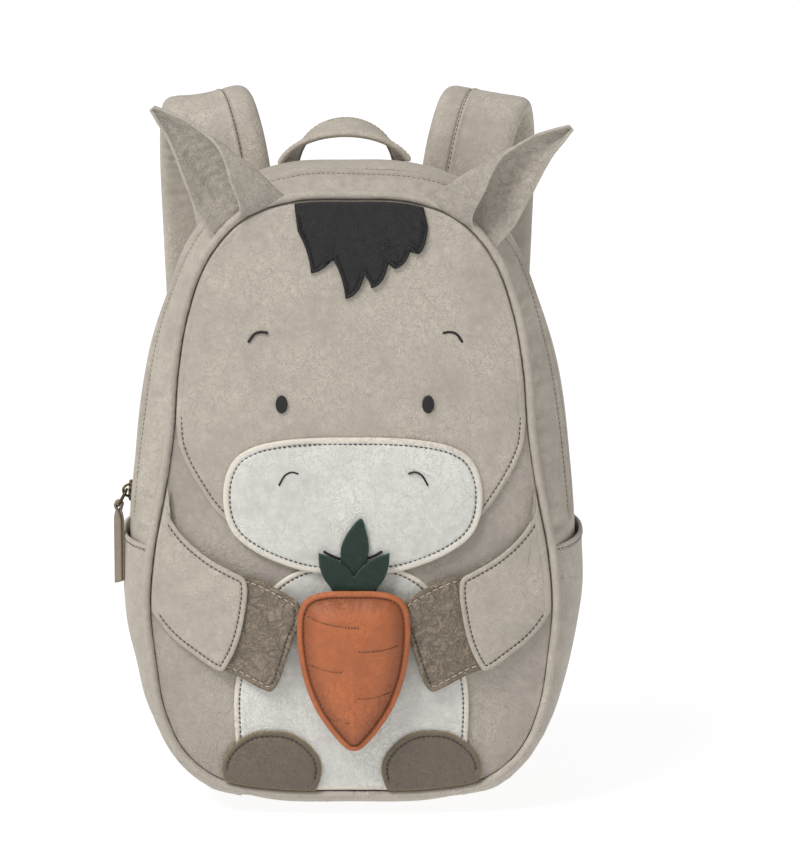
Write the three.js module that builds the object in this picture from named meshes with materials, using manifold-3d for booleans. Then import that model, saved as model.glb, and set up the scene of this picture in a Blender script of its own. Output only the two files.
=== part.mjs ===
// A child's animal backpack: an egg-shaped leather bag with a donkey's face, arms and carrot.
// Millimetres, +Z up. The bag stands on its base at the origin and its face looks along -Y.

import * as THREE from 'three';
import { mergeVertices } from 'three/addons/utils/BufferGeometryUtils.js';
import Module from 'manifold-3d';

// The bag body
const PANEL_W = 202;        // width of the front panel inside its piping
const PANEL_H = 301.5;      // height of the front panel inside its piping
const PANEL_FOOT = 13.4;    // height of the panel's lower edge above the ground
const BAG_DEPTH = 100;      // front panel's seam to back panel's seam
const FLARE = 22;           // how far the side wall stands out past the panel where it is fullest
const FRONT_BULGE = 11;     // crown of the front panel
const BACK_BULGE = 4;       // crown of the back panel
const WALL = 2.2;           // leather with its lining
const PIPING_D = 4.4;       // corded piping round the front panel
const GAP = 0.3;            // clearance between pieces that are sewn together
const BASE_FLAT = 0;        // the height at which the base is pressed flat

// Flat pieces sewn on the front panel
const OVERLAY_T = 1.4;      // head panel and belly patch
const APPLIQUE_T = 1.6;     // muzzle, feet, forelock, hooves, arms and leaves
const THREAD_T = 0.6;       // embroidered eyes, brows, nostrils and smile
const HUG_LIFT = 8.8;       // how far the arms' inner ends stand off the front panel

// Zip
const ZIP_FRONT = 22;       // front seam to the zip's front edge
const ZIP_W = 9;            // visible width of the tape
const ZIP_END_Z = 150;      // height at which the zip ends on each side
const ZIP_SINK = 0.8;       // how far the tape lies below the leather

// Side pockets
const POCKET_TOP = 139;     // height of the pockets' upper edge
const POCKET_FOOT = 24;     // height of their lower edge
const POCKET_T = 1.6;       // their leather
const POCKET_EASE = 1.6;    // how far the upper edge stands off the side wall
const POCKET_INSET = 0.05;  // share of the side wall's depth left free in front of them and behind

// Ears
const EAR_L = 73;           // foot to tip
const EAR_HALF_W = 20;      // half the width of the folded foot
const EAR_T = 1.8;          // leather, doubled and turned
const EAR_CUP = 10;         // depth of the hollow inside the ear

// Carrying handle and shoulder straps
const HANDLE_W = 22;        // width of the handle, front to back
const HANDLE_T = 3;         // two layers of leather
const HANDLE_FRONT = { halfSpan: 38.2, top: 341 };   // its front edge
const HANDLE_REAR = { halfSpan: 27.3, top: 347 };    // its rear edge, narrower and taller
const HANDLE_BACK = 15.5;   // back seam to the middle of the handle
const HANDLE_SHIFT = -3.5;  // it sits a little to one side
const STRAP_W = 44;         // padded shoulder strap
const STRAP_T = 10;
const STRAP_LOOP = 52;      // how far the loop stands behind the back seam
const STRAP_SHIFT = -3.5;   // both straps sit a little to one side
const WEBBING_W = 25;
const WEBBING_T = 1.8;
const ADJUSTER_L = 20;
const ADJUSTER_T = 3.4;
const ADJUSTER_BAR = 3.4;   // width of the adjuster's rails and bars
const ADJUSTER_CLEAR = 0.8; // the strap curves away from the adjuster
const TAB_W = 34;           // lower tab that holds the webbing
const TAB_L = 30;
const TAB_T = 2.4;

// Zip slider, its wire loop and leather pull
const SLIDER_Z = 160;       // height of the slider on the bag's left side
const SLIDER = { length: 11, width: 8, height: 2.6 };
const WIRE_R = 0.7;
const BRIDGE_R = 2.4;
const RING = { width: 11, height: 9, lean: 4.0 };
const PULL = { length: 40, width: 6.5, thick: 3, wall: 1 };

// Derived sizes
const PANEL_HALF = PANEL_W / 2;
const FRONT_Y = -BAG_DEPTH / 2;
const BACK_Y = BAG_DEPTH / 2;
const PIPING_R = PIPING_D / 2;
const SEAM_OUT = GAP + PIPING_R + WALL / 2;   // outer face of the side wall at its seams
const OVERLAY = { low: GAP, high: GAP + OVERLAY_T };
const SECOND = { low: OVERLAY.high + GAP, high: OVERLAY.high + GAP + APPLIQUE_T };
const ARM_LOW = GAP;
const HOOF_UNDER_ARM = APPLIQUE_T + GAP;
const CARROT_SEAT = ARM_LOW + HUG_LIFT + GAP;

// Sampling of the curved surfaces
const STATIONS = 48;        // round the front panel
const RINGS = [0, 0.3, 0.55, 0.76, 0.91, 1];
const SMALLEST = 1e-4;      // two points closer than this are one point

// Right half of the panel's outline, foot to top. across is a share of half the width, up of the
// height, flare of the side wall's fullest stand-out.
const OUTLINE = [
  { across: 0.00, up: 0.000, flare: 0.61 },
  { across: 0.40, up: 0.003, flare: 0.60 },
  { across: 0.66, up: 0.020, flare: 0.48 },
  { across: 0.83, up: 0.065, flare: 0.42 },
  { across: 0.93, up: 0.135, flare: 0.42 },
  { across: 0.98, up: 0.235, flare: 0.54 },
  { across: 1.00, up: 0.320, flare: 0.61 },
  { across: 0.975, up: 0.415, flare: 0.70 },
  { across: 0.92, up: 0.510, flare: 0.88 },
  { across: 0.875, up: 0.610, flare: 0.94 },
  { across: 0.85, up: 0.715, flare: 0.80 },
  { across: 0.80, up: 0.810, flare: 0.63 },
  { across: 0.70, up: 0.900, flare: 0.56 },
  { across: 0.52, up: 0.968, flare: 0.60 },
  { across: 0.28, up: 0.996, flare: 0.64 },
];
const OUTLINE_TOP = { across: 0, up: 1, flare: 0.66 };
const BAG_TOP = PANEL_FOOT + PANEL_H + OUTLINE_TOP.flare * FLARE;

// How the side wall swells from the front seam (depth 0) to the back seam (depth 1)
const SWELL = [
  { depth: 0.00, out: 0.00 },
  { depth: 0.08, out: 0.46 },
  { depth: 0.20, out: 0.82 },
  { depth: 0.38, out: 1.00 },
  { depth: 0.62, out: 1.00 },
  { depth: 0.80, out: 0.85 },
  { depth: 0.92, out: 0.50 },
  { depth: 1.00, out: 0.00 },
];

// Lower edge of the head panel, the donkey's cheeks and chin
const CHIN = { halfW: 88, foot: 137, rise: 76 };
const CHIN_LINE = [
  { across: 1.000, up: 1.000 },
  { across: 0.992, up: 0.855 },
  { across: 0.980, up: 0.725 },
  { across: 0.935, up: 0.590 },
  { across: 0.858, up: 0.438 },
  { across: 0.773, up: 0.300 },
  { across: 0.640, up: 0.170 },
  { across: 0.430, up: 0.066 },
  { across: 0.200, up: 0.013 },
];

const BELLY = { halfW: 59, foot: 6, height: CHIN.foot - 10 };
const BELLY_LINE = [
  { across: 0.966, up: 0.00 },
  { across: 0.975, up: 0.17 },
  { across: 1.000, up: 0.33 },
  { across: 1.000, up: 0.47 },
  { across: 0.950, up: 0.60 },
  { across: 0.850, up: 0.75 },
  { across: 0.730, up: 0.86 },
  { across: 0.630, up: 0.92 },
  { across: 0.490, up: 0.965 },
  { across: 0.340, up: 0.99 },
];

const MUZZLE = { halfW: 64.8, foot: 128.5, height: 69.2, middle: 1 };
const MUZZLE_LINE = [
  { across: 0.00, up: 0.000 },
  { across: 0.30, up: 0.007 },
  { across: 0.52, up: 0.060 },
  { across: 0.73, up: 0.145 },
  { across: 0.90, up: 0.260 },
  { across: 0.973, up: 0.380 },
  { across: 1.00, up: 0.535 },
  { across: 0.978, up: 0.710 },
  { across: 0.90, up: 0.843 },
  { across: 0.763, up: 0.925 },
  { across: 0.553, up: 0.974 },
  { across: 0.257, up: 0.998 },
];

const FOOT = { halfW: 25.3, top: 46.3, height: 34, middle: 40.4 };
const FOOT_LINE = [
  { across: 0.80, up: -0.20 },
  { across: 0.86, up: 0.00 },
  { across: 0.96, up: 0.20 },
  { across: 1.00, up: 0.40 },
  { across: 0.93, up: 0.60 },
  { across: 0.69, up: 0.82 },
  { across: 0.38, up: 0.96 },
];

// Forelock: one row for each lock, left to right, with its tip and the notch after it
const FORELOCK = { left: -28.9, width: 67.3, top: 322, drop: 55.5, side: { across: 0.04, drop: 0.4 }, end: 0.93 };
// How far a lock's right side bulges, as shares of the way from its tip to its notch
const LOCK_BULGE = { across: 0.8, drop: 0.12 };
const LOCKS = [
  { tip: 0.138, tipDrop: 0.773, notch: 0.287, notchDrop: 0.613 },
  { tip: 0.391, tipDrop: 1.000, notch: 0.532, notchDrop: 0.786 },
  { tip: 0.581, tipDrop: 0.906, notch: 0.709, notchDrop: 0.681 },
  { tip: 0.755, tipDrop: 0.733, notch: 0.878, notchDrop: 0.528 },
  { tip: 0.929, tipDrop: 0.604, notch: 1.000, notchDrop: 0.360 },
];

// Arm: across is a share of the way from its inner end to the panel's edge, up of its height
const ARM = { foot: 78, height: 89 };
const ARMS = [
  { word: 'left', side: -1, inner: 51.8 },
  { word: 'right', side: 1, inner: 54.2 },
];
const ARM_LINE = [
  { across: 1.30, up: 1.100 },
  { across: 0.83, up: 1.000 },
  { across: 0.82, up: 0.910 },
  { across: 0.735, up: 0.820 },
  { across: 0.595, up: 0.734 },
  { across: 0.383, up: 0.646 },
  { across: 0.149, up: 0.580 },
  { across: 0.030, up: 0.545 },
  { across: 0.000, up: 0.490 },
  { across: 0.032, up: 0.326 },
  { across: 0.089, up: 0.189 },
  { across: 0.177, up: 0.072 },
  { across: 0.268, up: 0.002 },
  { across: 0.340, up: 0.011 },
  { across: 0.547, up: 0.082 },
  { across: 0.753, up: 0.163 },
  { across: 0.915, up: 0.258 },
  { across: 1.100, up: 0.420 },
  { across: 1.300, up: 0.600 },
];

// Hoof: across is a share of its reach from its inner end outwards, up of its height
const HOOF = { inner: 25.6, reach: 45.4, foot: 68, height: 59.5 };
const HOOF_LINE = [
  { across: 0.62, up: 1.000 },
  { across: 0.10, up: 0.837 },
  { across: 0.01, up: 0.780 },
  { across: 0.00, up: 0.610 },
  { across: 0.080, up: 0.460 },
  { across: 0.175, up: 0.225 },
  { across: 0.255, up: 0.060 },
  { across: 0.330, up: 0.002 },
  { across: 0.440, up: 0.027 },
  { across: 0.690, up: 0.126 },
  { across: 1.000, up: 0.240 },
  { across: 0.960, up: 0.440 },
  { across: 0.840, up: 0.740 },
  { across: 0.760, up: 0.930 },
];

const CARROT = { halfW: 28.3, foot: 37.6, height: 83.8, middle: 1.4, rimT: 2.6, puff: 9.5, rim: 0.88 };
const CARROT_LINE = [
  { across: 0.00, up: 0.000 },
  { across: 0.12, up: 0.012 },
  { across: 0.24, up: 0.050 },
  { across: 0.43, up: 0.130 },
  { across: 0.68, up: 0.265 },
  { across: 0.885, up: 0.450 },
  { across: 0.985, up: 0.640 },
  { across: 1.00, up: 0.790 },
  { across: 0.965, up: 0.880 },
  { across: 0.86, up: 0.945 },
  { across: 0.67, up: 0.982 },
  { across: 0.40, up: 0.998 },
];

// Two side leaves in one piece, right half: outer edge from the foot to the tip, then the notch
const LEAVES = { halfW: 17.8, foot: 115, height: 25.3, middle: 1.6 };
const LEAVES_LINE = [
  { across: 0.56, up: 0.00 },
  { across: 0.63, up: 0.25 },
  { across: 0.85, up: 0.48 },
  { across: 0.97, up: 0.73 },
  { across: 1.00, up: 1.00 },
  { across: 0.53, up: 0.877 },
  { across: 0.19, up: 0.70 },
  { across: 0.00, up: 0.52 },
];
const MIDDLE_LEAF = { halfW: 7, foot: 117, height: 40.3, middle: 2 };
const MIDDLE_LEAF_LINE = [
  { across: 0.50, up: 0.00 },
  { across: 0.87, up: 0.46 },
  { across: 1.00, up: 0.64 },
  { across: 0.80, up: 0.84 },
  { across: 0.46, up: 1.00 },
  { across: -0.43, up: 0.84 },
  { across: -0.97, up: 0.64 },
  { across: -1.00, up: 0.46 },
  { across: -0.50, up: 0.00 },
];

// Embroidered strokes: each runs through three points and is drawn once, with the place of its middle
const EYE = { halfW: 3, halfH: 4.5, middle: 2.1, across: 36.4, up: 214 };
const BROW = { width: 1.4, middle: 2.4, across: 48.2, up: 249.9, halfL: 5.1, dip: 5.3, kick: 1 };
const NOSTRIL = { width: 1.0, middle: 1.3, across: 32.2, up: 180.3, halfL: 5, dip: 7, kick: 1.6 };
const SMILE = { width: 1.3, middle: 1, up: 140.4, halfL: 14.8, dip: 4.8 };

// Ear rows from foot to tip, as shares of its length and half width. out is the outer edge, fold
// the fold, edge the free edge of the flap that comes round to the front; cup is how far that
// edge stands in front of the back wall and bow how far the back wall hollows, as shares of the cup.
const EAR_ROWS = [
  { along: 0.00, out: -1.00, fold: 1.00, edge: -0.25, cup: 0.44, bow: 0.02 },
  { along: 0.15, out: -0.98, fold: 0.97, edge: 0.03, cup: 0.80, bow: 0.22 },
  { along: 0.30, out: -0.86, fold: 0.88, edge: 0.32, cup: 1.00, bow: 0.32 },
  { along: 0.42, out: -0.69, fold: 0.78, edge: 0.53, cup: 0.85, bow: 0.32 },
  { along: 0.52, out: -0.55, fold: 0.72, edge: 0.62, cup: 0.60, bow: 0.28 },
  { along: 0.64, out: -0.37, fold: 0.56, edge: 0.61, cup: 0.40, bow: 0.22 },
  { along: 0.78, out: -0.19, fold: 0.44, edge: 0.51, cup: 0.30, bow: 0.14 },
  { along: 0.90, out: -0.11, fold: 0.25, edge: 0.33, cup: 0.22, bow: 0.08 },
  { along: 1.00, out: -0.02, fold: 0.08, edge: 0.14, cup: 0.14, bow: 0.02 },
];
// side, place of the foot along the panel's half width, and lean away from upright
const EARS = [
  { name: 'ear_left', side: -1, across: 0.50, lean: 42 },
  { name: 'ear_right', side: 1, across: 0.55, lean: 49 },
];

// Middle line of a shoulder strap: out is a share of the panel's half width, back of the loop's
// stand-off from the back seam, up of the bag's height; width and thick are shares of the strap's,
// and roll is by how many degrees its outer edge hangs lower
const STRAP_ROWS = [
  { out: 0.56, back: 0.125, up: 0.850, width: 0.90, thick: 0.60, roll: 0 },
  { out: 0.57, back: 0.115, up: 0.890, width: 0.96, thick: 0.90, roll: 0 },
  { out: 0.60, back: 0.130, up: 0.950, width: 1.00, thick: 1.00, roll: 4 },
  { out: 0.64, back: 0.200, up: 1.018, width: 1.00, thick: 1.00, roll: 8 },
  { out: 0.69, back: 0.370, up: 1.065, width: 1.00, thick: 1.00, roll: 11 },
  { out: 0.735, back: 0.600, up: 1.077, width: 1.00, thick: 1.00, roll: 11 },
  { out: 0.76, back: 0.830, up: 1.043, width: 1.00, thick: 1.00, roll: 8 },
  { out: 0.768, back: 0.960, up: 0.973, width: 1.00, thick: 1.00, roll: 4 },
  { out: 0.757, back: 1.000, up: 0.862, width: 1.00, thick: 1.00, roll: 0 },
  { out: 0.725, back: 0.860, up: 0.640, width: 1.00, thick: 1.00, roll: 0 },
  { out: 0.716, back: 0.665, up: 0.470, width: 0.88, thick: 0.80, roll: 0 },
  { out: 0.712, back: 0.600, up: 0.428, width: 0.64, thick: 0.32, roll: 0 },
  { out: 0.71, back: 0.570, up: 0.400, width: 0.62, thick: 0.32, roll: 0 },
];
// Middle line of the webbing, from the adjuster down to its tab
const WEBBING_ROWS = [
  { out: 0.706, back: 0.535, up: 0.377 },
  { out: 0.700, back: 0.480, up: 0.340 },
  { out: 0.690, back: 0.370, up: 0.265 },
  { out: 0.675, back: 0.230, up: 0.185 },
  { out: 0.660, back: 0.095, up: 0.130 },
  { out: 0.655, back: 0.055, up: 0.105 },
];

const wasm = await Module();
wasm.setup();

const leather = (color, roughness = 0.62) => new THREE.MeshStandardMaterial({ color, roughness });
const MATERIALS = {
  body: leather('#aba294'),
  trim: leather('#b8afa2'),
  muzzle: leather('#d9dad6'),
  belly: leather('#e4e3df'),
  hoof: leather('#7d7264'),
  carrot: leather('#c06a40'),
  leaf: leather('#27483a'),
  forelock: leather('#2f2f2f'),
  thread: leather('#2b2826', 0.8),
  webbing: leather('#8f8577', 0.9),
  zip: leather('#9a9082', 0.9),
  plastic: new THREE.MeshStandardMaterial({ color: '#6b6358', roughness: 0.45 }),
  brass: new THREE.MeshStandardMaterial({ color: '#6b6046', roughness: 0.4, metalness: 1 }),
};

// Point helpers
const RING_AXIS = new THREE.Vector3(1, 0, 0);
const point = (x, y, z) => new THREE.Vector3(x, y, z);
const mirrored = (side) => (p) => point(side * p.x, p.y, p.z);
const blend = (a, b, share) => a + (b - a) * share;
const smooth = (share) => THREE.MathUtils.smoothstep(share, 0, 1);

// Value of a column of a table at a place between its rows
function readTable(rows, key, column, place) {
  const next = rows.findIndex((row) => row[key] >= place);
  if (next < 0) return rows[rows.length - 1][column];
  if (next === 0) return rows[0][column];
  const [low, high] = [rows[next - 1], rows[next]];
  return blend(low[column], high[column], (place - low[key]) / (high[key] - low[key]));
}

// Closed geometry from a list of triangle corners; faces are turned to point outwards
function closedGeometry(corners) {
  const kept = [];
  let volume = 0;
  for (let i = 0; i < corners.length; i += 3) {
    const [a, b, c] = corners.slice(i, i + 3);
    const shortest = Math.min(a.distanceTo(b), b.distanceTo(c), c.distanceTo(a));
    if (shortest < SMALLEST) continue;
    volume += a.dot(b.clone().cross(c));
    kept.push([a, b, c]);
  }
  const order = volume > 0 ? [0, 1, 2] : [0, 2, 1];
  const positions = kept.flatMap((face) => order.flatMap((k) => face[k].toArray()));
  const geometry = new THREE.BufferGeometry();
  geometry.setAttribute('position', new THREE.Float32BufferAttribute(positions, 3));
  return mergeVertices(geometry, SMALLEST);
}

// Two triangles of each cell of a grid of points
function gridFaces(grid, wrap, corners, flip) {
  const columns = grid[0].length;
  for (let r = 0; r + 1 < grid.length; r++) {
    for (let c = 0; c < (wrap ? columns : columns - 1); c++) {
      const d = (c + 1) % columns;
      const cell = [grid[r][c], grid[r][d], grid[r + 1][d], grid[r + 1][c]];
      const order = flip ? [0, 2, 1, 0, 3, 2] : [0, 1, 2, 0, 2, 3];
      order.forEach((k) => corners.push(cell[k]));
    }
  }
}

// Wall between two grids of the same size; wrap joins the last column to the first
function wallBetween(face, lining, wrap = false) {
  const corners = [];
  gridFaces(face, wrap, corners, false);
  gridFaces(lining, wrap, corners, true);
  const last = face.length - 1;
  gridFaces([lining[0], face[0]], wrap, corners, false);
  gridFaces([face[last], lining[last]], wrap, corners, false);
  if (!wrap) {
    const edge = (grid, column) => grid.map((row) => row[column]);
    const end = face[0].length - 1;
    gridFaces([edge(face, 0), edge(lining, 0)], false, corners, false);
    gridFaces([edge(lining, end), edge(face, end)], false, corners, false);
  }
  return closedGeometry(corners);
}

// Solid through closed sections, with a flat fan at each end
function loft(sections) {
  const corners = [];
  gridFaces(sections, true, corners, false);
  const ends = [[sections[0], true], [sections[sections.length - 1], false]];
  for (const [ring, flip] of ends) {
    const centre = ring.reduce((sum, p) => sum.add(p), point(0, 0, 0)).divideScalar(ring.length);
    gridFaces([ring, ring.map(() => centre)], true, corners, flip);
  }
  return closedGeometry(corners);
}

// Solids for cutting and joining
function toSolid(geometry) {
  const bare = geometry.clone();
  bare.deleteAttribute('normal');
  bare.deleteAttribute('uv');
  const merged = mergeVertices(bare, SMALLEST);
  const vertProperties = new Float32Array(merged.attributes.position.array);
  const triVerts = new Uint32Array(merged.index.array);
  return new wasm.Manifold(new wasm.Mesh({ numProp: 3, vertProperties, triVerts }));
}

function toGeometry(solid) {
  const mesh = solid.getMesh();
  const geometry = new THREE.BufferGeometry();
  geometry.setAttribute('position', new THREE.BufferAttribute(mesh.vertProperties, 3));
  geometry.setIndex(new THREE.BufferAttribute(mesh.triVerts, 1));
  return geometry;
}

// The outline of the front panel, and the side wall round it
const halfRows = [...OUTLINE, OUTLINE_TOP];
const mirroredRows = OUTLINE.slice(1).reverse().map((row) => ({ ...row, across: -row.across }));
const outlineCurve = new THREE.CatmullRomCurve3(
  [...halfRows, ...mirroredRows].map((row) => point(
    row.across * PANEL_HALF,
    row.flare * FLARE,
    PANEL_FOOT + row.up * PANEL_H,
  )),
  true,
);
outlineCurve.arcLengthDivisions = 800;
const OUTLINE_LENGTH = outlineCurve.getLength();

// Point, outward direction and flare of the outline at a share of its length from the foot
function outlineAt(share) {
  const turn = ((share % 1) + 1) % 1;
  const p = outlineCurve.getPointAt(turn);
  const t = outlineCurve.getTangentAt(turn);
  const out = point(t.z, 0, -t.x).normalize();
  return { x: p.x, z: p.z, out, flare: p.y };
}

// Share of the outline's length at which its right side reaches a height
function shareAtHeight(height) {
  let [low, high] = [0, 0.5];
  for (let i = 0; i < 30; i++) {
    const middle = (low + high) / 2;
    if (outlineAt(middle).z < height) low = middle; else high = middle;
  }
  return low;
}

// Share of the outline's length at which its upper right part reaches a distance across
function shareAtAcross(across) {
  let [low, high] = [shareAtHeight(PANEL_FOOT + PANEL_H / 2), 0.5];
  for (let i = 0; i < 30; i++) {
    const middle = (low + high) / 2;
    if (outlineAt(middle).x > across) low = middle; else high = middle;
  }
  return low;
}

const SIDE_FRONT_Y = FRONT_Y + PIPING_R + GAP;
const SIDE_DEPTH = BACK_Y - WALL - GAP - SIDE_FRONT_Y;
const depthShare = (y) => (y - SIDE_FRONT_Y) / SIDE_DEPTH;

// Point of the side wall at a share of the outline and of its depth, moved out by lift
function sidePoint(share, depth, lift = 0) {
  const at = outlineAt(share);
  const swell = readTable(SWELL, 'depth', 'out', depth);
  const out = SEAM_OUT + Math.max(at.flare - SEAM_OUT, 0) * swell + lift;
  const floor = BASE_FLAT - lift;
  return point(
    at.x + at.out.x * out,
    SIDE_FRONT_Y + depth * SIDE_DEPTH,
    Math.max(at.z + at.out.z * out, floor),
  );
}

const evenly = (from, to, count) => Array.from({ length: count }, (_, i) => blend(from, to, i / (count - 1)));

// Part of the side wall between two shares of the outline and two depths
function sideWall(from, to, count, depths, liftFace = 0, thick = WALL) {
  const grid = (lift) => depths.map((d) => evenly(from, to, count).map((s) => sidePoint(s, d, lift)));
  return wallBetween(grid(liftFace), grid(liftFace - thick));
}

// Surfaces of the front and back panels: rings of points from the middle to the outline
const PANEL_MIDDLE_Z = PANEL_FOOT + 0.45 * PANEL_H;
const FRONT_CROWN = 2.6;
const BACK_CROWN = 3;

function panelRings(rings, spread, yAt) {
  return rings.map((ring) => Array.from({ length: STATIONS }, (_, i) => {
    const at = outlineAt(i / STATIONS);
    const x = ring * (at.x + at.out.x * spread);
    const z = blend(PANEL_MIDDLE_Z, at.z + at.out.z * spread, ring);
    return point(x, yAt(ring, x, z), z);
  }));
}
const frontY = (ring) => FRONT_Y - FRONT_BULGE * (1 - ring ** FRONT_CROWN);
const backY = (ring) => BACK_Y + BACK_BULGE * (1 - ring ** BACK_CROWN);

// Share of the way from the panel's middle to its outline at a point of the panel
function ringShare(x, z) {
  const angle = Math.atan2(Math.abs(x), z - PANEL_MIDDLE_Z);
  let [low, high] = [0, 0.5];
  for (let i = 0; i < 24; i++) {
    const middle = (low + high) / 2;
    const at = outlineAt(middle);
    if (Math.atan2(at.x, at.z - PANEL_MIDDLE_Z) > angle) low = middle; else high = middle;
  }
  const at = outlineAt(low);
  return Math.hypot(x, z - PANEL_MIDDLE_Z) / Math.hypot(at.x, at.z - PANEL_MIDDLE_Z);
}

// Sheet that follows the front panel at a distance in front of it
function frontSheet(low, high) {
  const far = panelRings(RINGS, 0, (ring, x) => frontY(ring) - high(x));
  const near = panelRings(RINGS, 0, (ring, x) => frontY(ring) - low(x));
  return toSolid(wallBetween(far, near, true));
}
const evenSheet = (layer) => frontSheet(() => layer.low, () => layer.high);

// Upright prism through the panel from an outline of points across and up
function prism(outline) {
  const shape = new THREE.Shape(outline);
  const depth = BAG_DEPTH;
  const geometry = new THREE.ExtrudeGeometry(shape, { depth, bevelEnabled: false });
  geometry.rotateX(Math.PI / 2);
  return toSolid(geometry);
}

const cutFromSheet = (sheet, outline) => toGeometry(sheet.intersect(prism(outline)));
const flat = (x, z) => new THREE.Vector2(x, z);

// Smooth line through the rows of a table, as points across and up
function smoothLine(points, closed, count) {
  const curve = new THREE.CatmullRomCurve3(points.map((p) => point(p.x, p.y, 0)), closed);
  return curve.getPoints(count).slice(0, closed ? -1 : undefined).map((p) => flat(p.x, p.y));
}

// Closed outline mirrored about its middle, from the rows of its right half
function mirroredOutline(rows, size, count, top) {
  const place = (row, side) => flat(
    (size.middle ?? 0) + side * row.across * size.halfW,
    size.foot + row.up * size.height,
  );
  const right = rows.map((row) => place(row, 1));
  const left = rows.filter((row) => row.across > 0).reverse().map((row) => place(row, -1));
  return smoothLine([...right, ...(top ? [place(top, 1)] : []), ...left], true, count);
}

// Ribbon of even width along a line of points
function stroke(line, width) {
  const side = (sign) => line.map((p, i) => {
    const before = line[Math.max(i - 1, 0)];
    const after = line[Math.min(i + 1, line.length - 1)];
    const along = after.clone().sub(before).normalize();
    return flat(p.x - sign * along.y * width / 2, p.y + sign * along.x * width / 2);
  });
  return [...side(1), ...side(-1).reverse()];
}

const model = new THREE.Group();
function addPart(name, geometry, material) {
  const mesh = new THREE.Mesh(geometry, MATERIALS[material]);
  mesh.name = name;
  model.add(mesh);
}

// Front panel, back panel and piping
function frontPanel() {
  const face = panelRings(RINGS, 0, (ring) => frontY(ring));
  const lining = panelRings(RINGS, 0, (ring) => frontY(ring) + WALL);
  return wallBetween(face, lining, true);
}

const BACK_RINGS = [0, 0.6, 0.88, 1];
function backPanel(lift = 0) {
  const face = panelRings(BACK_RINGS, SEAM_OUT + lift, (ring) => backY(ring) + lift);
  const lining = panelRings(BACK_RINGS, SEAM_OUT + lift, (ring) => backY(ring) - WALL - lift);
  return wallBetween(face, lining, true);
}

function piping() {
  const sides = 6;
  const rows = Array.from({ length: STATIONS + 1 }, (_, i) => {
    const at = outlineAt(i / STATIONS);
    return Array.from({ length: sides }, (_, k) => {
      const angle = (k / sides) * 2 * Math.PI;
      const out = GAP + PIPING_R * (1 + Math.cos(angle));
      return point(at.x + at.out.x * out, FRONT_Y + PIPING_R * Math.sin(angle), at.z + at.out.z * out);
    });
  });
  const corners = [];
  gridFaces(rows, true, corners, false);
  return closedGeometry(corners);
}

addPart('front_panel', frontPanel(), 'body');
addPart('back_panel', backPanel(), 'body');
addPart('piping_front', piping(), 'trim');

// Side wall: an arch in front of the zip, the zip, an arch behind it, and the base below
const ZIP_START = shareAtHeight(ZIP_END_Z);
const END_GAP = GAP / OUTLINE_LENGTH;
const ARCH = { from: ZIP_START + END_GAP, to: 1 - ZIP_START - END_GAP, count: 29 };
const zipDepth = [depthShare(FRONT_Y + ZIP_FRONT), depthShare(FRONT_Y + ZIP_FRONT + ZIP_W)];
const slit = GAP / SIDE_DEPTH;

function arch(depths, lift, thick) {
  return sideWall(ARCH.from, ARCH.to, ARCH.count, depths, lift, thick);
}
const FRONT_DEPTHS = [0, 0.08, 0.16, zipDepth[0] - slit];
const BACK_DEPTHS = [zipDepth[1] + slit, 0.4, 0.62, 0.8, 0.92, 1];
const BASE_DEPTHS = [0, 0.08, 0.2, 0.38, 0.62, 0.8, 0.92, 1];
addPart('gusset_front', arch(FRONT_DEPTHS), 'trim');
addPart('zip_tape', arch(zipDepth, -ZIP_SINK, WALL - ZIP_SINK), 'zip');
addPart('gusset_back', arch(BACK_DEPTHS), 'trim');
addPart('gusset_base', sideWall(-ZIP_START, ZIP_START, 21, BASE_DEPTHS), 'trim');

// Side pockets lie on the base's sides, with an eased upper edge
function pocket(side) {
  const shares = evenly(shareAtHeight(POCKET_FOOT), shareAtHeight(POCKET_TOP), 10);
  const depths = [POCKET_INSET, ...BASE_DEPTHS.slice(1, -1), 1 - POCKET_INSET];
  const grid = (lift) => depths.map((d) => shares.map((s, i) => {
    const rise = i / (shares.length - 1);
    const ease = POCKET_EASE * rise ** 4 * Math.sin(Math.PI * d);
    return sidePoint(s, d, 2 * GAP + lift + ease);
  }).map(mirrored(side)));
  return wallBetween(grid(POCKET_T), grid(0));
}
addPart('side_pocket_left', pocket(-1), 'trim');
addPart('side_pocket_right', pocket(1), 'trim');

// Face and belly
const overlaySheet = evenSheet(OVERLAY);
const secondSheet = evenSheet(SECOND);

function headOutline() {
  const right = CHIN_LINE.map((row) => flat(row.across * CHIN.halfW, CHIN.foot + row.up * CHIN.rise));
  const left = [...right].reverse().map((p) => flat(-p.x, p.y));
  const chin = smoothLine([...right, flat(0, CHIN.foot), ...left], false, 36);
  const [wide, high] = [PANEL_W, PANEL_FOOT + PANEL_H + FLARE];
  return [...chin, flat(-wide, CHIN.foot + CHIN.rise), flat(-wide, high), flat(wide, high),
    flat(wide, CHIN.foot + CHIN.rise)];
}
addPart('head_panel', cutFromSheet(overlaySheet, headOutline()), 'trim');
addPart('belly_patch', cutFromSheet(overlaySheet,
  mirroredOutline(BELLY_LINE, BELLY, 34, { across: 0, up: 1 })), 'belly');
addPart('muzzle', cutFromSheet(secondSheet,
  mirroredOutline(MUZZLE_LINE, MUZZLE, 40, { across: 0, up: 1 })), 'muzzle');

for (const [name, side] of [['foot_left', -1], ['foot_right', 1]]) {
  const size = { halfW: FOOT.halfW, foot: FOOT.top - FOOT.height, height: FOOT.height, middle: side * FOOT.middle };
  addPart(name, cutFromSheet(secondSheet, mirroredOutline(FOOT_LINE, size, 26, { across: 0, up: 1 })), 'hoof');
}

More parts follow.
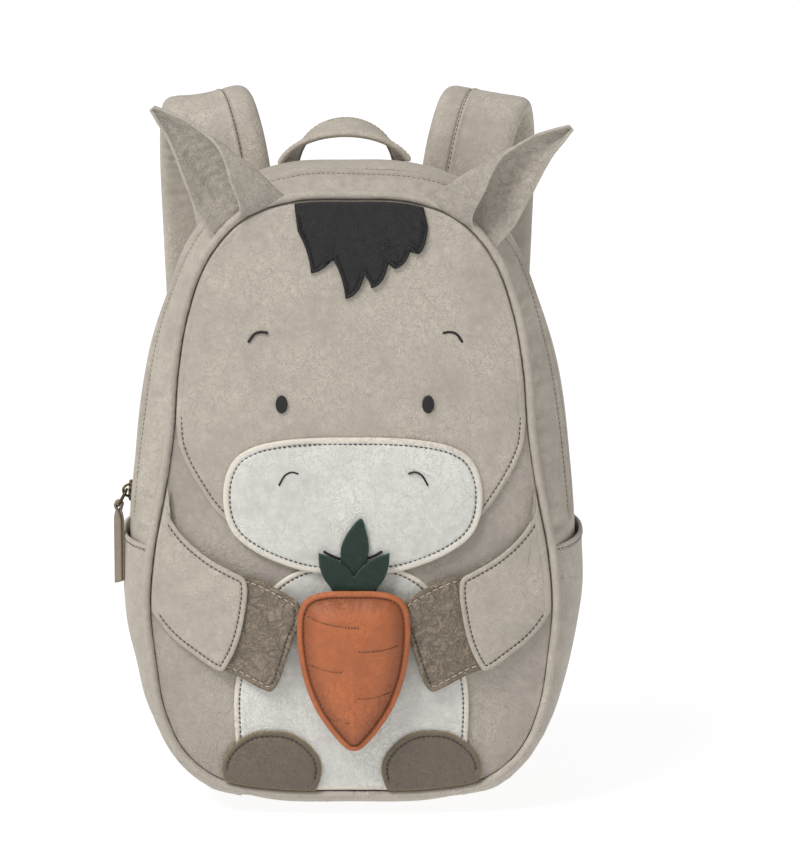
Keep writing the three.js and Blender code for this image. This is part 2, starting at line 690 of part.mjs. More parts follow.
function forelockOutline() {
  const place = (across, drop) => flat(FORELOCK.left + across * FORELOCK.width, FORELOCK.top - drop * FORELOCK.drop);
  const shape = new THREE.Shape();
  const start = place(0, 0);
  shape.moveTo(start.x, start.y);
  let from = place(FORELOCK.side.across, FORELOCK.side.drop);
  shape.lineTo(from.x, from.y);
  for (const lock of LOCKS) {
    const tip = place(lock.tip, lock.tipDrop);
    const notch = place(lock.notch, lock.notchDrop);
    shape.quadraticCurveTo(tip.x - 0.1 * (tip.x - from.x), blend(from.y, tip.y, 0.5), tip.x, tip.y);
    const bulge = flat(blend(tip.x, notch.x, LOCK_BULGE.across), blend(tip.y, notch.y, LOCK_BULGE.drop));
    shape.quadraticCurveTo(bulge.x, bulge.y, notch.x, notch.y);
    from = notch;
  }
  const end = place(FORELOCK.end, 0);
  shape.lineTo(end.x, end.y);
  return shape.getPoints(4);
}
addPart('forelock', cutFromSheet(secondSheet, forelockOutline()), 'forelock');

// Embroidery on the head panel and the muzzle
const onHead = evenSheet({ low: OVERLAY.high + GAP, high: OVERLAY.high + GAP + THREAD_T });
const MUZZLE_FACE = SECOND.high + GAP;
const onMuzzle = evenSheet({ low: MUZZLE_FACE, high: MUZZLE_FACE + THREAD_T });

function eyeOutline(side) {
  const oval = new THREE.EllipseCurve(EYE.middle + side * EYE.across, EYE.up, EYE.halfW, EYE.halfH);
  return oval.getPoints(14).slice(0, -1);
}

// Arched stroke that dips at its outer end
function archedStroke(size, side, count) {
  const line = [[1, -size.dip], [0.35, -size.kick], [-0.3, 0], [-1, -size.kick / 2]];
  const points = line.map(([across, up]) => flat(
    size.middle + side * (size.across + across * size.halfL),
    size.up + up,
  ));
  return stroke(smoothLine(points, false, count), size.width);
}
for (const [word, side] of [['left', -1], ['right', 1]]) {
  addPart(`eye_${word}`, cutFromSheet(onHead, eyeOutline(side)), 'thread');
  addPart(`brow_${word}`, cutFromSheet(onHead, archedStroke(BROW, side, 7)), 'thread');
  addPart(`nostril_${word}`, cutFromSheet(onMuzzle, archedStroke(NOSTRIL, side, 8)), 'thread');
}
const smileLine = [-1, -0.5, 0, 0.5, 1].map((across) => flat(
  SMILE.middle + across * SMILE.halfL,
  SMILE.up - SMILE.dip * (1 - across ** 2),
));
addPart('smile', cutFromSheet(onMuzzle, stroke(smoothLine(smileLine, false, 8), SMILE.width)), 'thread');

// Arms rise from the side seams to the carrot, with the hooves below their inner ends
const armLow = (x) => ARM_LOW + HUG_LIFT * THREE.MathUtils.clamp(
  (PANEL_HALF - Math.abs(x)) / (PANEL_HALF - HOOF.inner), 0, 1,
);
const armSheet = frontSheet(armLow, (x) => armLow(x) + APPLIQUE_T);
const hoofSheet = frontSheet((x) => armLow(x) - HOOF_UNDER_ARM, (x) => armLow(x) - GAP);

for (const { word, side, inner } of ARMS) {
  const arm = smoothLine(ARM_LINE.map((row) => flat(
    side * blend(inner, PANEL_HALF, row.across),
    ARM.foot + row.up * ARM.height,
  )), true, 38);
  const hoof = smoothLine(HOOF_LINE.map((row) => flat(
    side * (HOOF.inner + row.across * HOOF.reach),
    HOOF.foot + row.up * HOOF.height,
  )), true, 34);
  addPart(`arm_${word}`, cutFromSheet(armSheet, arm), 'trim');
  addPart(`hoof_${word}`, cutFromSheet(hoofSheet, hoof), 'hoof');
}

// Carrot: a stuffed body with a flat sewn rim, standing on the hooves' inner ends
function carrot() {
  const outline = mirroredOutline(CARROT_LINE, CARROT, 26, { across: 0, up: 1 });
  const middle = flat(CARROT.middle, CARROT.foot + 0.6 * CARROT.height);
  const rings = [0, 0.3, 0.55, 0.74, CARROT.rim, 1];
  const rows = (thickAt) => rings.map((ring) => outline.map((p) => {
    const x = blend(middle.x, p.x, ring);
    const z = blend(middle.y, p.y, ring);
    return point(x, frontY(ringShare(x, z)) - CARROT_SEAT - thickAt(ring), z);
  }));
  const puff = (ring) => CARROT.rimT + CARROT.puff * Math.max(1 - (ring / CARROT.rim) ** 2, 0) ** 0.6;
  return wallBetween(rows(puff), rows(() => 0), true);
}
addPart('carrot', carrot(), 'carrot');

// Leaves lie on the muzzle and end behind the carrot's top
const leafLow = MUZZLE_FACE + THREAD_T + GAP;
const leafStep = APPLIQUE_T + GAP;
const middleLeafSheet = evenSheet({ low: leafLow, high: leafLow + APPLIQUE_T });
const leavesSheet = evenSheet({ low: leafLow + leafStep, high: leafLow + leafStep + APPLIQUE_T });
const middleLeafOutline = smoothLine(MIDDLE_LEAF_LINE.map((row) => flat(
  MIDDLE_LEAF.middle + row.across * MIDDLE_LEAF.halfW,
  MIDDLE_LEAF.foot + row.up * MIDDLE_LEAF.height,
)), true, 18);
addPart('leaf_middle', cutFromSheet(middleLeafSheet, middleLeafOutline), 'leaf');
function leavesOutline() {
  const place = (row, side) => flat(LEAVES.middle + side * row.across * LEAVES.halfW, LEAVES.foot + row.up * LEAVES.height);
  const tip = 4;
  const half = (side) => {
    const points = LEAVES_LINE.map((row) => place(row, side));
    return [...smoothLine(points.slice(0, tip + 1), false, 8), ...smoothLine(points.slice(tip), false, 6).slice(1)];
  };
  return [...half(1), ...half(-1).reverse().slice(1)];
}
addPart('leaf_sides', cutFromSheet(leavesSheet, leavesOutline()), 'leaf');

// Ears: one folded leaf of leather each, standing on the piping
function ear({ side, across, lean }) {
  const foot = shareAtAcross(across * PANEL_HALF);
  const clear = 2 * GAP + PIPING_D + EAR_T / 2;
  const base = (c) => {
    const at = outlineAt(foot + (c * EAR_HALF_W) / OUTLINE_LENGTH);
    return flat(at.x + at.out.x * clear, at.z + at.out.z * clear);
  };
  const tilt = THREE.MathUtils.degToRad(lean);
  const along = flat(Math.sin(tilt), Math.cos(tilt));
  const inward = flat(-along.y, along.x);
  const origin = base(-1).lerp(base(1), 0.5);
  const backWall = SIDE_FRONT_Y - EAR_T / 2;
  const place = (row, c, y) => {
    const local = flat(
      origin.x + along.x * row.along * EAR_L + inward.x * c * EAR_HALF_W,
      origin.y + along.y * row.along * EAR_L + inward.y * c * EAR_HALF_W,
    );
    const spot = base(c).lerp(local, smooth(row.along / 0.3));
    return point(spot.x, backWall + y * EAR_CUP, spot.y);
  };
  const rows = EAR_ROWS.map((row) => {
    const line = new THREE.CatmullRomCurve3([
      place(row, row.out, -0.12 * smooth(row.along / 0.2)),
      place(row, blend(row.out, row.fold, 0.5), row.bow),
      place(row, row.fold, -row.cup / 2),
      place(row, row.edge, -row.cup),
    ]);
    return line.getPoints(9);
  });
  const normals = surfaceNormals(rows);
  const shifted = (by) => rows.map((row, r) => row.map((p, c) => p.clone().addScaledVector(normals[r][c], by))
    .map(mirrored(side)));
  return wallBetween(shifted(EAR_T / 2), shifted(-EAR_T / 2));
}

// Direction square to a grid of points at each of them
function surfaceNormals(rows) {
  return rows.map((row, r) => row.map((_, c) => {
    const up = rows[Math.min(r + 1, rows.length - 1)][c].clone().sub(rows[Math.max(r - 1, 0)][c]);
    const over = row[Math.min(c + 1, row.length - 1)].clone().sub(row[Math.max(c - 1, 0)]);
    return over.cross(up).normalize();
  }));
}
for (const size of EARS) addPart(size.name, ear(size), 'trim');

// The bag's outer form with a clearance, for seating what is sewn on it
function bagForm(lift) {
  const shares = evenly(0, 1, 2 * STATIONS + 1).slice(0, -1);
  const rings = BASE_DEPTHS.map((d) => shares.map((s) => sidePoint(s, d, lift)));
  return toSolid(loft(rings)).add(toSolid(backPanel(lift)));
}
const seat = bagForm(GAP);

// Rounded flat section: width across, thickness through
function flatSection(width, thick) {
  const round = Math.min(thick / 2, width / 2) * 0.999;
  const straight = width / 2 - round;
  return [[1, -45], [1, 0], [1, 45], [0, 90], [-1, 135], [-1, 180], [-1, 225], [0, 270]].map(([side, angle]) => {
    const turn = THREE.MathUtils.degToRad(angle);
    return flat(side * straight + (side === 0 ? 0 : round * Math.cos(turn)), (thick / 2) * Math.sin(turn));
  });
}

// Band along a path of points, its width kept as near as it can be to the across direction
function band(path, acrossAt, sectionAt) {
  return loft(path.map((p, i) => {
    const along = path[Math.min(i + 1, path.length - 1)].clone().sub(path[Math.max(i - 1, 0)]).normalize();
    const through = along.clone().cross(acrossAt(i)).normalize();
    const wide = through.clone().cross(along).normalize();
    return sectionAt(i).map((s) => p.clone().addScaledVector(wide, s.x).addScaledVector(through, s.y));
  }));
}

// Arched sheet between a front edge and a rear edge that is narrower and taller
function grabHandle() {
  const foot = PANEL_FOOT + PANEL_H - WALL;
  const rows = evenly(-1, 1, 17).map((s) => evenly(0, 1, 4).map((share) => {
    const halfSpan = blend(HANDLE_FRONT.halfSpan, HANDLE_REAR.halfSpan, share) - HANDLE_T / 2;
    const rise = blend(HANDLE_FRONT.top, HANDLE_REAR.top, share) - HANDLE_T / 2;
    const turn = (s * Math.PI) / 2;
    return point(
      HANDLE_SHIFT + halfSpan * Math.sin(turn),
      BACK_Y - HANDLE_BACK + (share - 0.5) * HANDLE_W,
      blend(foot, rise, Math.cos(turn) ** 0.8),
    );
  }));
  const normals = surfaceNormals(rows);
  const shifted = (by) => rows.map((row, r) => row.map((p, c) => p.clone().addScaledVector(normals[r][c], by)));
  const solid = toSolid(wallBetween(shifted(HANDLE_T / 2), shifted(-HANDLE_T / 2)));
  return toGeometry(solid.subtract(seat));
}
addPart('grab_handle', grabHandle(), 'trim');

// Shoulder straps and what fastens them
const ACROSS = point(1, 0, 0);
const strapPlace = (side) => (row) => point(
  STRAP_SHIFT + side * row.out * PANEL_HALF,
  BACK_Y + row.back * STRAP_LOOP,
  row.up * BAG_TOP,
);

// Smooth path through the rows of a table, with the rows' shares read along it
function smoothPath(rows, side, steps) {
  const count = steps * (rows.length - 1) + 1;
  const path = new THREE.CatmullRomCurve3(rows.map(strapPlace(side)));
  return evenly(0, 1, count).map((t) => {
    const place = t * (rows.length - 1);
    const row = Math.min(Math.floor(place), rows.length - 2);
    const read = (column) => blend(rows[row][column], rows[row + 1][column], place - row);
    return { at: path.getPoint(t), read };
  });
}

function shoulderStrap(side) {
  const stations = smoothPath(STRAP_ROWS, side, 2);
  const rolled = (i) => {
    const roll = THREE.MathUtils.degToRad(stations[i].read('roll'));
    return point(Math.cos(roll), 0, -side * Math.sin(roll));
  };
  const strip = band(stations.map((s) => s.at), rolled, (i) => flatSection(
    stations[i].read('width') * STRAP_W,
    stations[i].read('thick') * STRAP_T,
  ));
  return toGeometry(toSolid(strip).subtract(seat));
}

// Axes of a band at a point of it: across, along and through its thickness
function bandAxes(from, to) {
  const along = to.clone().sub(from).normalize();
  const through = ACROSS.clone().cross(along).normalize();
  const wide = along.clone().cross(through).normalize();
  return new THREE.Matrix4().makeBasis(wide, along, through);
}

// Where the strap's end and the webbing meet, and how far the adjuster's face lies in front of them
const STRAP_END = STRAP_ROWS[STRAP_ROWS.length - 1];
const ADJUSTER_FACE = (STRAP_END.thick * STRAP_T) / 2 + ADJUSTER_CLEAR;
function adjusterEnds(side) {
  const end = strapPlace(side)(STRAP_END);
  const start = strapPlace(side)(WEBBING_ROWS[0]);
  return { end, start, axes: bandAxes(end, start) };
}

// Middle line of the webbing, laid against the adjuster's face
function webbingPath(side, steps) {
  const lay = point(0, 0, 0).setFromMatrixColumn(adjusterEnds(side).axes, 2);
  const toFace = ADJUSTER_FACE - WEBBING_T / 2 - GAP;
  return smoothPath(WEBBING_ROWS, side, steps).map((s) => s.at.addScaledVector(lay, -toFace));
}

function webbing(side) {
  const strip = band(webbingPath(side, 1), () => ACROSS, () => flatSection(WEBBING_W, WEBBING_T));
  return toGeometry(toSolid(strip).subtract(seat));
}

// Ladder adjuster in front of the strap's end: a frame with two slots
function adjuster(side) {
  const { end, start, axes } = adjusterEnds(side);
  const half = flat(WEBBING_W / 2 + ADJUSTER_BAR, ADJUSTER_L / 2);
  const box = (x0, x1, y0, y1) => [flat(x0, y0), flat(x1, y0), flat(x1, y1), flat(x0, y1)];
  const shape = new THREE.Shape(box(-half.x, half.x, -half.y, half.y));
  const slotL = (ADJUSTER_L - 3 * ADJUSTER_BAR) / 2;
  for (const foot of [-half.y + ADJUSTER_BAR, ADJUSTER_BAR / 2]) {
    shape.holes.push(new THREE.Path(box(-half.x + ADJUSTER_BAR, half.x - ADJUSTER_BAR, foot, foot + slotL)));
  }
  const frame = new THREE.ExtrudeGeometry(shape, { depth: ADJUSTER_T, bevelEnabled: false });
  frame.translate(0, 0, -ADJUSTER_FACE - ADJUSTER_T);
  frame.applyMatrix4(axes);
  const middle = end.clone().lerp(start, 0.5);
  frame.translate(middle.x, middle.y, middle.z);
  return frame;
}

// Leather tab over the webbing's lower end
function strapTab(side) {
  const path = webbingPath(side, 3);
  const foot = path[path.length - 1];
  const over = (WEBBING_T + TAB_T) / 2 + GAP;
  const rows = evenly(1, 0, 5).map((share) => {
    const z = foot.z + share * TAB_L - TAB_T;
    const near = path.findIndex((p) => p.z < z);
    const at = near < 0 ? foot : path[Math.max(near, 1)];
    const before = near < 0 ? path[path.length - 2] : path[Math.max(near, 1) - 1];
    const lie = at.clone().sub(before);
    const reach = lie.z === 0 ? 0 : (z - at.z) / lie.z;
    return at.clone().addScaledVector(lie, reach);
  });
  const strip = band(rows.map((p) => p.clone().add(point(0, over, 0))), () => ACROSS, (i) => (
    flatSection(blend(WEBBING_W + 2, TAB_W, i / 4), TAB_T)
  ));
  return toGeometry(toSolid(strip).subtract(seat));
}
for (const [word, side] of [['left', -1], ['right', 1]]) {
  addPart(`shoulder_strap_${word}`, shoulderStrap(side), 'trim');
  addPart(`adjuster_${word}`, adjuster(side), 'plastic');
  addPart(`webbing_${word}`, webbing(side), 'webbing');
  addPart(`strap_tab_${word}`, strapTab(side), 'trim');
}

// Zip slider on the left side, with a wire loop through its bridge and a leather pull on the loop
const sliderShare = 1 - shareAtHeight(SLIDER_Z);
const sliderReach = SLIDER.length / 2 / OUTLINE_LENGTH;
const onTape = (share, depth) => sidePoint(share, depth, -ZIP_SINK);
const sliderDepth = (zipDepth[0] + zipDepth[1]) / 2;
const sliderUp = onTape(sliderShare - sliderReach, sliderDepth)
  .sub(onTape(sliderShare + sliderReach, sliderDepth)).normalize();
const sliderBack = onTape(sliderShare, zipDepth[1]).sub(onTape(sliderShare, zipDepth[0])).normalize();
const sliderOut = sliderUp.clone().cross(sliderBack).normalize();
if (sliderOut.x > 0) sliderOut.negate();
const sliderFoot = onTape(sliderShare, sliderDepth).addScaledVector(sliderOut, 2 * GAP);
const sliderPlace = (up, back, out) => sliderFoot.clone()
  .addScaledVector(sliderUp, up)
  .addScaledVector(sliderBack, back)
  .addScaledVector(sliderOut, out);

// Round rod along a path; closed joins its ends
function rod(path, radius, sides, closed) {
  const count = path.length;
  const rings = path.map((p, i) => {
    const before = path[closed ? (i + count - 1) % count : Math.max(i - 1, 0)];
    const after = path[closed ? (i + 1) % count : Math.min(i + 1, count - 1)];
    const along = after.clone().sub(before).normalize();
    const first = Math.abs(along.y) > 0.9 ? point(1, 0, 0) : point(0, 1, 0);
    const level = closed ? RING_AXIS.clone() : first.clone().cross(along).normalize();
    const square = along.clone().cross(level).normalize();
    return Array.from({ length: sides }, (_, k) => {
      const turn = (k / sides) * 2 * Math.PI;
      return p.clone()
        .addScaledVector(level, radius * Math.cos(turn))
        .addScaledVector(square, radius * Math.sin(turn));
    });
  });
  if (!closed) return loft(rings);
  const corners = [];
  gridFaces([...rings, rings[0]], true, corners, false);
  return closedGeometry(corners);
}

function zipSlider() {
  const halfL = SLIDER.length / 2;
  const section = (up, width) => [[-1, 0], [1, 0], [1, 0.7], [0.7, 1], [-0.7, 1], [-1, 0.7]].map(([back, out]) => (
    sliderPlace(up, back * width / 2, out * SLIDER.height)
  ));
  const body = loft([
    section(-halfL, SLIDER.width * 0.6),
    section(-halfL * 0.3, SLIDER.width),
    section(halfL * 0.8, SLIDER.width),
    section(halfL, SLIDER.width * 0.8),
  ]);
  const bridge = evenly(0, Math.PI, 9).map((turn) => sliderPlace(
    -BRIDGE_R * Math.cos(turn) * 1.3,
    0,
    SLIDER.height - WIRE_R + BRIDGE_R * 1.5 * Math.sin(turn),
  ));
  return toGeometry(toSolid(body).add(toSolid(rod(bridge, WIRE_R, 6, false))));
}

// The loop hangs in the bridge and leans out, so that the pull lies over the pocket's edge
const ringTop = sliderPlace(0, 0, SLIDER.height - 3 * WIRE_R + BRIDGE_R * 1.5 - GAP);
const ringDrop = RING.height - 2 * WIRE_R;
const ringFoot = point(ringTop.x - RING.lean, ringTop.y, ringTop.z - ringDrop);
function zipLoop() {
  const count = 24;
  const path = Array.from({ length: count }, (_, i) => {
    const turn = (i / count) * 2 * Math.PI;
    const square = (value) => Math.sign(value) * Math.abs(value) ** 0.5;
    const p = ringTop.clone().lerp(ringFoot, (1 - square(Math.cos(turn))) / 2);
    return p.add(point(0, square(Math.sin(turn)) * (RING.width / 2 - WIRE_R), 0));
  });
  return rod(path, WIRE_R, 5, true);
}

function zipPull() {
  const eye = WIRE_R + 2 * GAP;
  const outer = eye + PULL.wall;
  const shape = new THREE.Shape();
  const neck = Math.asin(PULL.thick / 2 / outer);
  shape.absarc(0, 0, outer, -Math.PI / 2 + neck, 1.5 * Math.PI - neck, false);
  shape.lineTo(-PULL.thick / 2, -PULL.length);
  shape.lineTo(PULL.thick / 2, -PULL.length);
  const hole = new THREE.Path();
  hole.absarc(0, 0, eye, 0, 2 * Math.PI, true);
  shape.holes.push(hole);
  const options = { depth: PULL.width, bevelEnabled: false, curveSegments: 8 };
  const strip = new THREE.ExtrudeGeometry(shape, options);
  strip.rotateX(Math.PI / 2);
  strip.translate(ringFoot.x, ringFoot.y + PULL.width / 2, ringFoot.z);
  return strip;
}
addPart('zip_slider', zipSlider(), 'brass');
addPart('zip_loop', zipLoop(), 'brass');
addPart('zip_pull', zipPull(), 'trim');

export default model;
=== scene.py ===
"""A child's animal backpack of coated leather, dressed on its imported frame."""

from functools import partial

import bpy
import bmesh
import numpy as np
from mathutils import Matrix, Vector


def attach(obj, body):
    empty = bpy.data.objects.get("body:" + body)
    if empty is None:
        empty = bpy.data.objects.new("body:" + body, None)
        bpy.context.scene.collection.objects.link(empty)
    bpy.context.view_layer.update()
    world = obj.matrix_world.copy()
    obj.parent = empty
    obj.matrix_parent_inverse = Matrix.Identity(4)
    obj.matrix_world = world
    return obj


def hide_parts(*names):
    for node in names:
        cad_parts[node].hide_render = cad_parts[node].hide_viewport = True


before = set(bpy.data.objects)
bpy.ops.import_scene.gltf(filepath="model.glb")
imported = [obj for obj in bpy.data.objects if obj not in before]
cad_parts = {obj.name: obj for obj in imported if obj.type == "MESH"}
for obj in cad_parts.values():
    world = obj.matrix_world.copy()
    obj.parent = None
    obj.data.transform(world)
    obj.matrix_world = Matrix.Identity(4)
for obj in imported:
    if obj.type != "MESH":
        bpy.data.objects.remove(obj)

bl_info = {
    "name": "Child's animal backpack",
    "version": (1, 0, 0),
    "blender": (4, 5, 0),
    "location": "View3D > Sidebar > Backpack",
    "description": "Builds a child's leather backpack with a donkey's face round its packed frame",
    "category": "Add Mesh",
}

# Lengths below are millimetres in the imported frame, as in the part's source
MM = 0.001
TAU = 2 * np.pi
ACROSS = np.array([1.0, 0.0, 0.0])

# The bag body
PANEL_HALF = 101.0
PANEL_H = 301.5
PANEL_FOOT = 13.4
PANEL_MIDDLE_Z = PANEL_FOOT + 0.45 * PANEL_H
BAG_DEPTH = 100.0
FRONT_Y = -BAG_DEPTH / 2
BACK_Y = BAG_DEPTH / 2
FLARE = 22.0
FRONT_BULGE = 11.0
FRONT_CROWN = 2.6
BACK_BULGE = 4.0
BACK_CROWN = 3.0
BACK_REACH = 0.965
WALL = 2.2
PIPING_R = 2.2
PIPING_JOIN = 1.4
GAP = 0.3
SEAM_OUT = GAP + PIPING_R + WALL / 2
SIDE_FRONT_Y = FRONT_Y + PIPING_R + GAP
SIDE_DEPTH = BACK_Y - WALL - GAP - SIDE_FRONT_Y
ZIP_FRONT = 22.0
SLOT_FRONT = FRONT_Y + ZIP_FRONT - SIDE_FRONT_Y
ZIP_W = 9.0
ZIP_END_Z = 150.0
ZIP_SINK = 0.8

# Layers on the front panel: how far each lies in front of it
OVERLAY_T = 1.4
APPLIQUE_T = 1.6
THREAD_T = 0.6
OVERLAY_TOP = GAP + OVERLAY_T
SECOND_LOW = OVERLAY_TOP + GAP
MUZZLE_TOP = SECOND_LOW + APPLIQUE_T
HUG_LIFT = 8.8
LEAF_LOW = MUZZLE_TOP + 2 * GAP + THREAD_T
LEAF_STEP = APPLIQUE_T + GAP
CARROT_SEAT = GAP + HUG_LIFT + GAP

# Right half of the front panel's outline: across (share of half width), up (share of height), flare
OUTLINE = np.array([
    (0.00, 0.000, 0.61), (0.40, 0.003, 0.60), (0.66, 0.020, 0.48), (0.83, 0.065, 0.42),
    (0.93, 0.135, 0.42), (0.98, 0.235, 0.54), (1.00, 0.320, 0.61), (0.975, 0.415, 0.70),
    (0.92, 0.510, 0.88), (0.875, 0.610, 0.94), (0.85, 0.715, 0.80), (0.80, 0.810, 0.63),
    (0.70, 0.900, 0.55), (0.52, 0.968, 0.57), (0.28, 0.996, 0.58), (0.00, 1.000, 0.59),
])
# Height that the rows of the straps and the webbing are shares of
TOP_FLARE = 0.66
BAG_TOP = PANEL_FOOT + PANEL_H + TOP_FLARE * FLARE

# Swell of the side wall: depth, out
SWELL = np.array([
    (0.00, 0.00), (0.08, 0.46), (0.20, 0.82), (0.38, 1.00),
    (0.62, 1.00), (0.80, 0.85), (0.92, 0.50), (1.00, 0.00),
])

# Sewn-on pieces, right half from the foot up: across, up
CHIN = {"half": 88.0, "foot": 137.0, "rise": 76.0}
CHIN_LINE = np.array([
    (1.000, 1.000), (0.992, 0.855), (0.980, 0.725), (0.935, 0.590), (0.858, 0.438),
    (0.773, 0.300), (0.640, 0.170), (0.430, 0.066), (0.200, 0.013),
])
BELLY = {"half": 59.0, "foot": 6.0, "height": CHIN["foot"] - 10, "middle": 0.0}
BELLY_LINE = np.array([
    (0.966, 0.00), (0.975, 0.17), (1.000, 0.33), (1.000, 0.47), (0.950, 0.60), (0.850, 0.75),
    (0.730, 0.86), (0.630, 0.92), (0.490, 0.965), (0.340, 0.99), (0.0, 1.0),
])
MUZZLE = {"half": 64.8, "foot": 128.5, "height": 69.2, "middle": 1.0}
MUZZLE_LINE = np.array([
    (0.00, 0.000), (0.30, 0.007), (0.52, 0.060), (0.73, 0.145), (0.90, 0.260), (0.973, 0.380),
    (1.00, 0.535), (0.978, 0.710), (0.90, 0.843), (0.763, 0.925), (0.553, 0.974), (0.257, 0.998),
    (0.0, 1.0),
])
FOOT = {"half": 25.3, "foot": 12.3, "height": 34.0}
FOOT_MIDDLE = 40.4
FOOT_LINE = np.array([
    (0.80, -0.20), (0.86, 0.00), (0.96, 0.20), (1.00, 0.40), (0.93, 0.60), (0.69, 0.82),
    (0.38, 0.96), (0.0, 1.0),
])
# Locks of the forelock, left to right: tip across, tip drop, notch across, notch drop
FORELOCK = {"left": -28.9, "width": 67.3, "top": 322.0, "drop": 55.5}
LOCKS = np.array([
    (0.138, 0.773, 0.287, 0.613), (0.391, 1.000, 0.532, 0.786), (0.581, 0.906, 0.709, 0.681),
    (0.755, 0.733, 0.878, 0.528), (0.929, 0.604, 1.000, 0.360),
])
ARM = {"foot": 78.0, "height": 89.0}
ARM_INNER = {"left": 51.8, "right": 54.2}
ARM_LINE = np.array([
    (1.30, 1.100), (0.83, 1.000), (0.82, 0.910), (0.735, 0.820), (0.595, 0.734), (0.383, 0.646),
    (0.149, 0.580), (0.030, 0.545), (0.000, 0.490), (0.032, 0.326), (0.089, 0.189),
    (0.177, 0.072), (0.268, 0.002), (0.340, 0.011), (0.547, 0.082), (0.753, 0.163),
    (0.915, 0.258), (1.100, 0.420), (1.300, 0.600),
])
HOOF = {"inner": 25.6, "reach": 45.4, "foot": 68.0, "height": 59.5}
HOOF_LINE = np.array([
    (0.62, 1.000), (0.10, 0.837), (0.01, 0.780), (0.00, 0.610), (0.080, 0.460), (0.175, 0.225),
    (0.255, 0.060), (0.330, 0.002), (0.440, 0.027), (0.690, 0.126), (1.000, 0.240),
    (0.960, 0.440), (0.840, 0.740), (0.760, 0.930),
])
CARROT = {"half": 28.3, "foot": 37.6, "height": 83.8, "middle": 1.4}
CARROT_RIM_T = 2.6
CARROT_PUFF = 9.5
CARROT_LINE = np.array([
    (0.00, 0.000), (0.12, 0.012), (0.24, 0.050), (0.43, 0.130), (0.68, 0.265), (0.885, 0.450),
    (0.985, 0.640), (1.00, 0.790), (0.965, 0.880), (0.86, 0.945), (0.67, 0.982), (0.40, 0.998),
    (0.0, 1.0),
])
# Dotted seams across the carrot: left end, right end as (across, up), then the sag of the line
CARROT_SEAMS = np.array([
    (-22.5, 109.2, 5.0, 104.5, 1.2), (3.0, 92.6, 24.0, 94.5, 1.0), (-22.0, 84.4, -4.0, 81.6, 0.8),
    (3.0, 68.0, 20.5, 70.0, 1.0), (-12.0, 55.6, -0.5, 54.6, 0.4),
])
LEAVES = {"half": 17.8, "foot": 115.0, "height": 25.3, "middle": 1.6}
LEAVES_LINE = np.array([
    (0.56, 0.00), (0.63, 0.25), (0.85, 0.48), (0.97, 0.73), (1.00, 1.00),
    (0.53, 0.877), (0.19, 0.70), (0.00, 0.52),
])
MIDDLE_LEAF = {"half": 7.0, "foot": 117.0, "height": 40.3, "middle": 2.0}
MIDDLE_LEAF_LINE = np.array([
    (0.50, 0.00), (0.87, 0.46), (1.00, 0.64), (0.80, 0.84), (0.46, 1.00),
    (-0.43, 0.84), (-0.97, 0.64), (-1.00, 0.46), (-0.50, 0.00),
])
EYE = {"half_w": 3.0, "half_h": 4.5, "middle": 2.1, "across": 36.4, "up": 214.0}
BROW = {"width": 1.4, "middle": 2.4, "across": 48.2, "up": 249.9, "half": 5.1, "dip": 5.3, "kick": 1.0}
NOSTRIL = {"width": 1.0, "middle": 1.3, "across": 32.2, "up": 180.3, "half": 5.0, "dip": 7.0, "kick": 1.6}
SMILE = {"width": 1.3, "middle": 1.0, "up": 140.4, "half": 14.8, "dip": 4.8}

# Ear rows from foot to tip: along, outer edge, fold, free edge, cup, bow
EAR_L = 73.0
EAR_HALF_W = 20.0
EAR_T = 1.8
EAR_CUP = 10.0
EAR_ROWS = np.array([
    (0.00, -1.00, 1.00, -0.45, 0.20, 0.02), (0.15, -0.98, 0.97, -0.02, 0.66, 0.22),
    (0.30, -0.86, 0.88, 0.32, 1.00, 0.32), (0.42, -0.69, 0.78, 0.53, 0.85, 0.32),
    (0.52, -0.55, 0.72, 0.62, 0.60, 0.28), (0.64, -0.37, 0.56, 0.61, 0.40, 0.22),
    (0.78, -0.19, 0.44, 0.51, 0.30, 0.14), (0.90, -0.11, 0.25, 0.33, 0.22, 0.08),
    (1.00, -0.02, 0.08, 0.14, 0.14, 0.02),
])
EARS = {"ear_left": (-1, 0.50, 42.0), "ear_right": (1, 0.55, 49.0)}

# Handle, straps, webbing and tabs
HANDLE_W = 22.0
HANDLE_T = 3.0
HANDLE_HALF_SPAN = (38.2, 27.3)
HANDLE_TOP = (341.0, 347.0)
HANDLE_BACK = 15.5
HANDLE_SHIFT = -3.5
STRAP_W = 44.0
STRAP_T = 10.0
STRAP_LOOP = 52.0
STRAP_SHIFT = -3.5
WEBBING_W = 25.0
WEBBING_T = 1.8
ADJUSTER_CLEAR = 0.8
ADJUSTER_BAR = 3.4
ADJUSTER_L = 20.0
TAB_W = 34.0
TAB_L = 30.0
TAB_T = 2.4
# Strap rows from the top seam to the tongue: out, back, up, width, thick, roll in degrees
STRAP_ROWS = np.array([
    (0.56, 0.125, 0.850, 0.90, 0.60, 0), (0.57, 0.115, 0.890, 0.96, 0.90, 0),
    (0.60, 0.130, 0.947, 1.00, 1.00, 4), (0.64, 0.200, 1.010, 1.00, 1.00, 8),
    (0.69, 0.370, 1.055, 1.00, 1.00, 10), (0.735, 0.600, 1.066, 1.00, 1.00, 10),
    (0.76, 0.830, 1.033, 1.00, 1.00, 8), (0.768, 0.960, 0.968, 1.00, 1.00, 4),
    (0.757, 1.000, 0.862, 1.00, 1.00, 0), (0.725, 0.860, 0.640, 1.00, 1.00, 0),
    (0.716, 0.665, 0.470, 0.88, 0.80, 0), (0.712, 0.600, 0.428, 0.64, 0.32, 0),
    (0.71, 0.570, 0.400, 0.62, 0.32, 0),
])
TONGUE_T = STRAP_ROWS[-1, 4] * STRAP_T
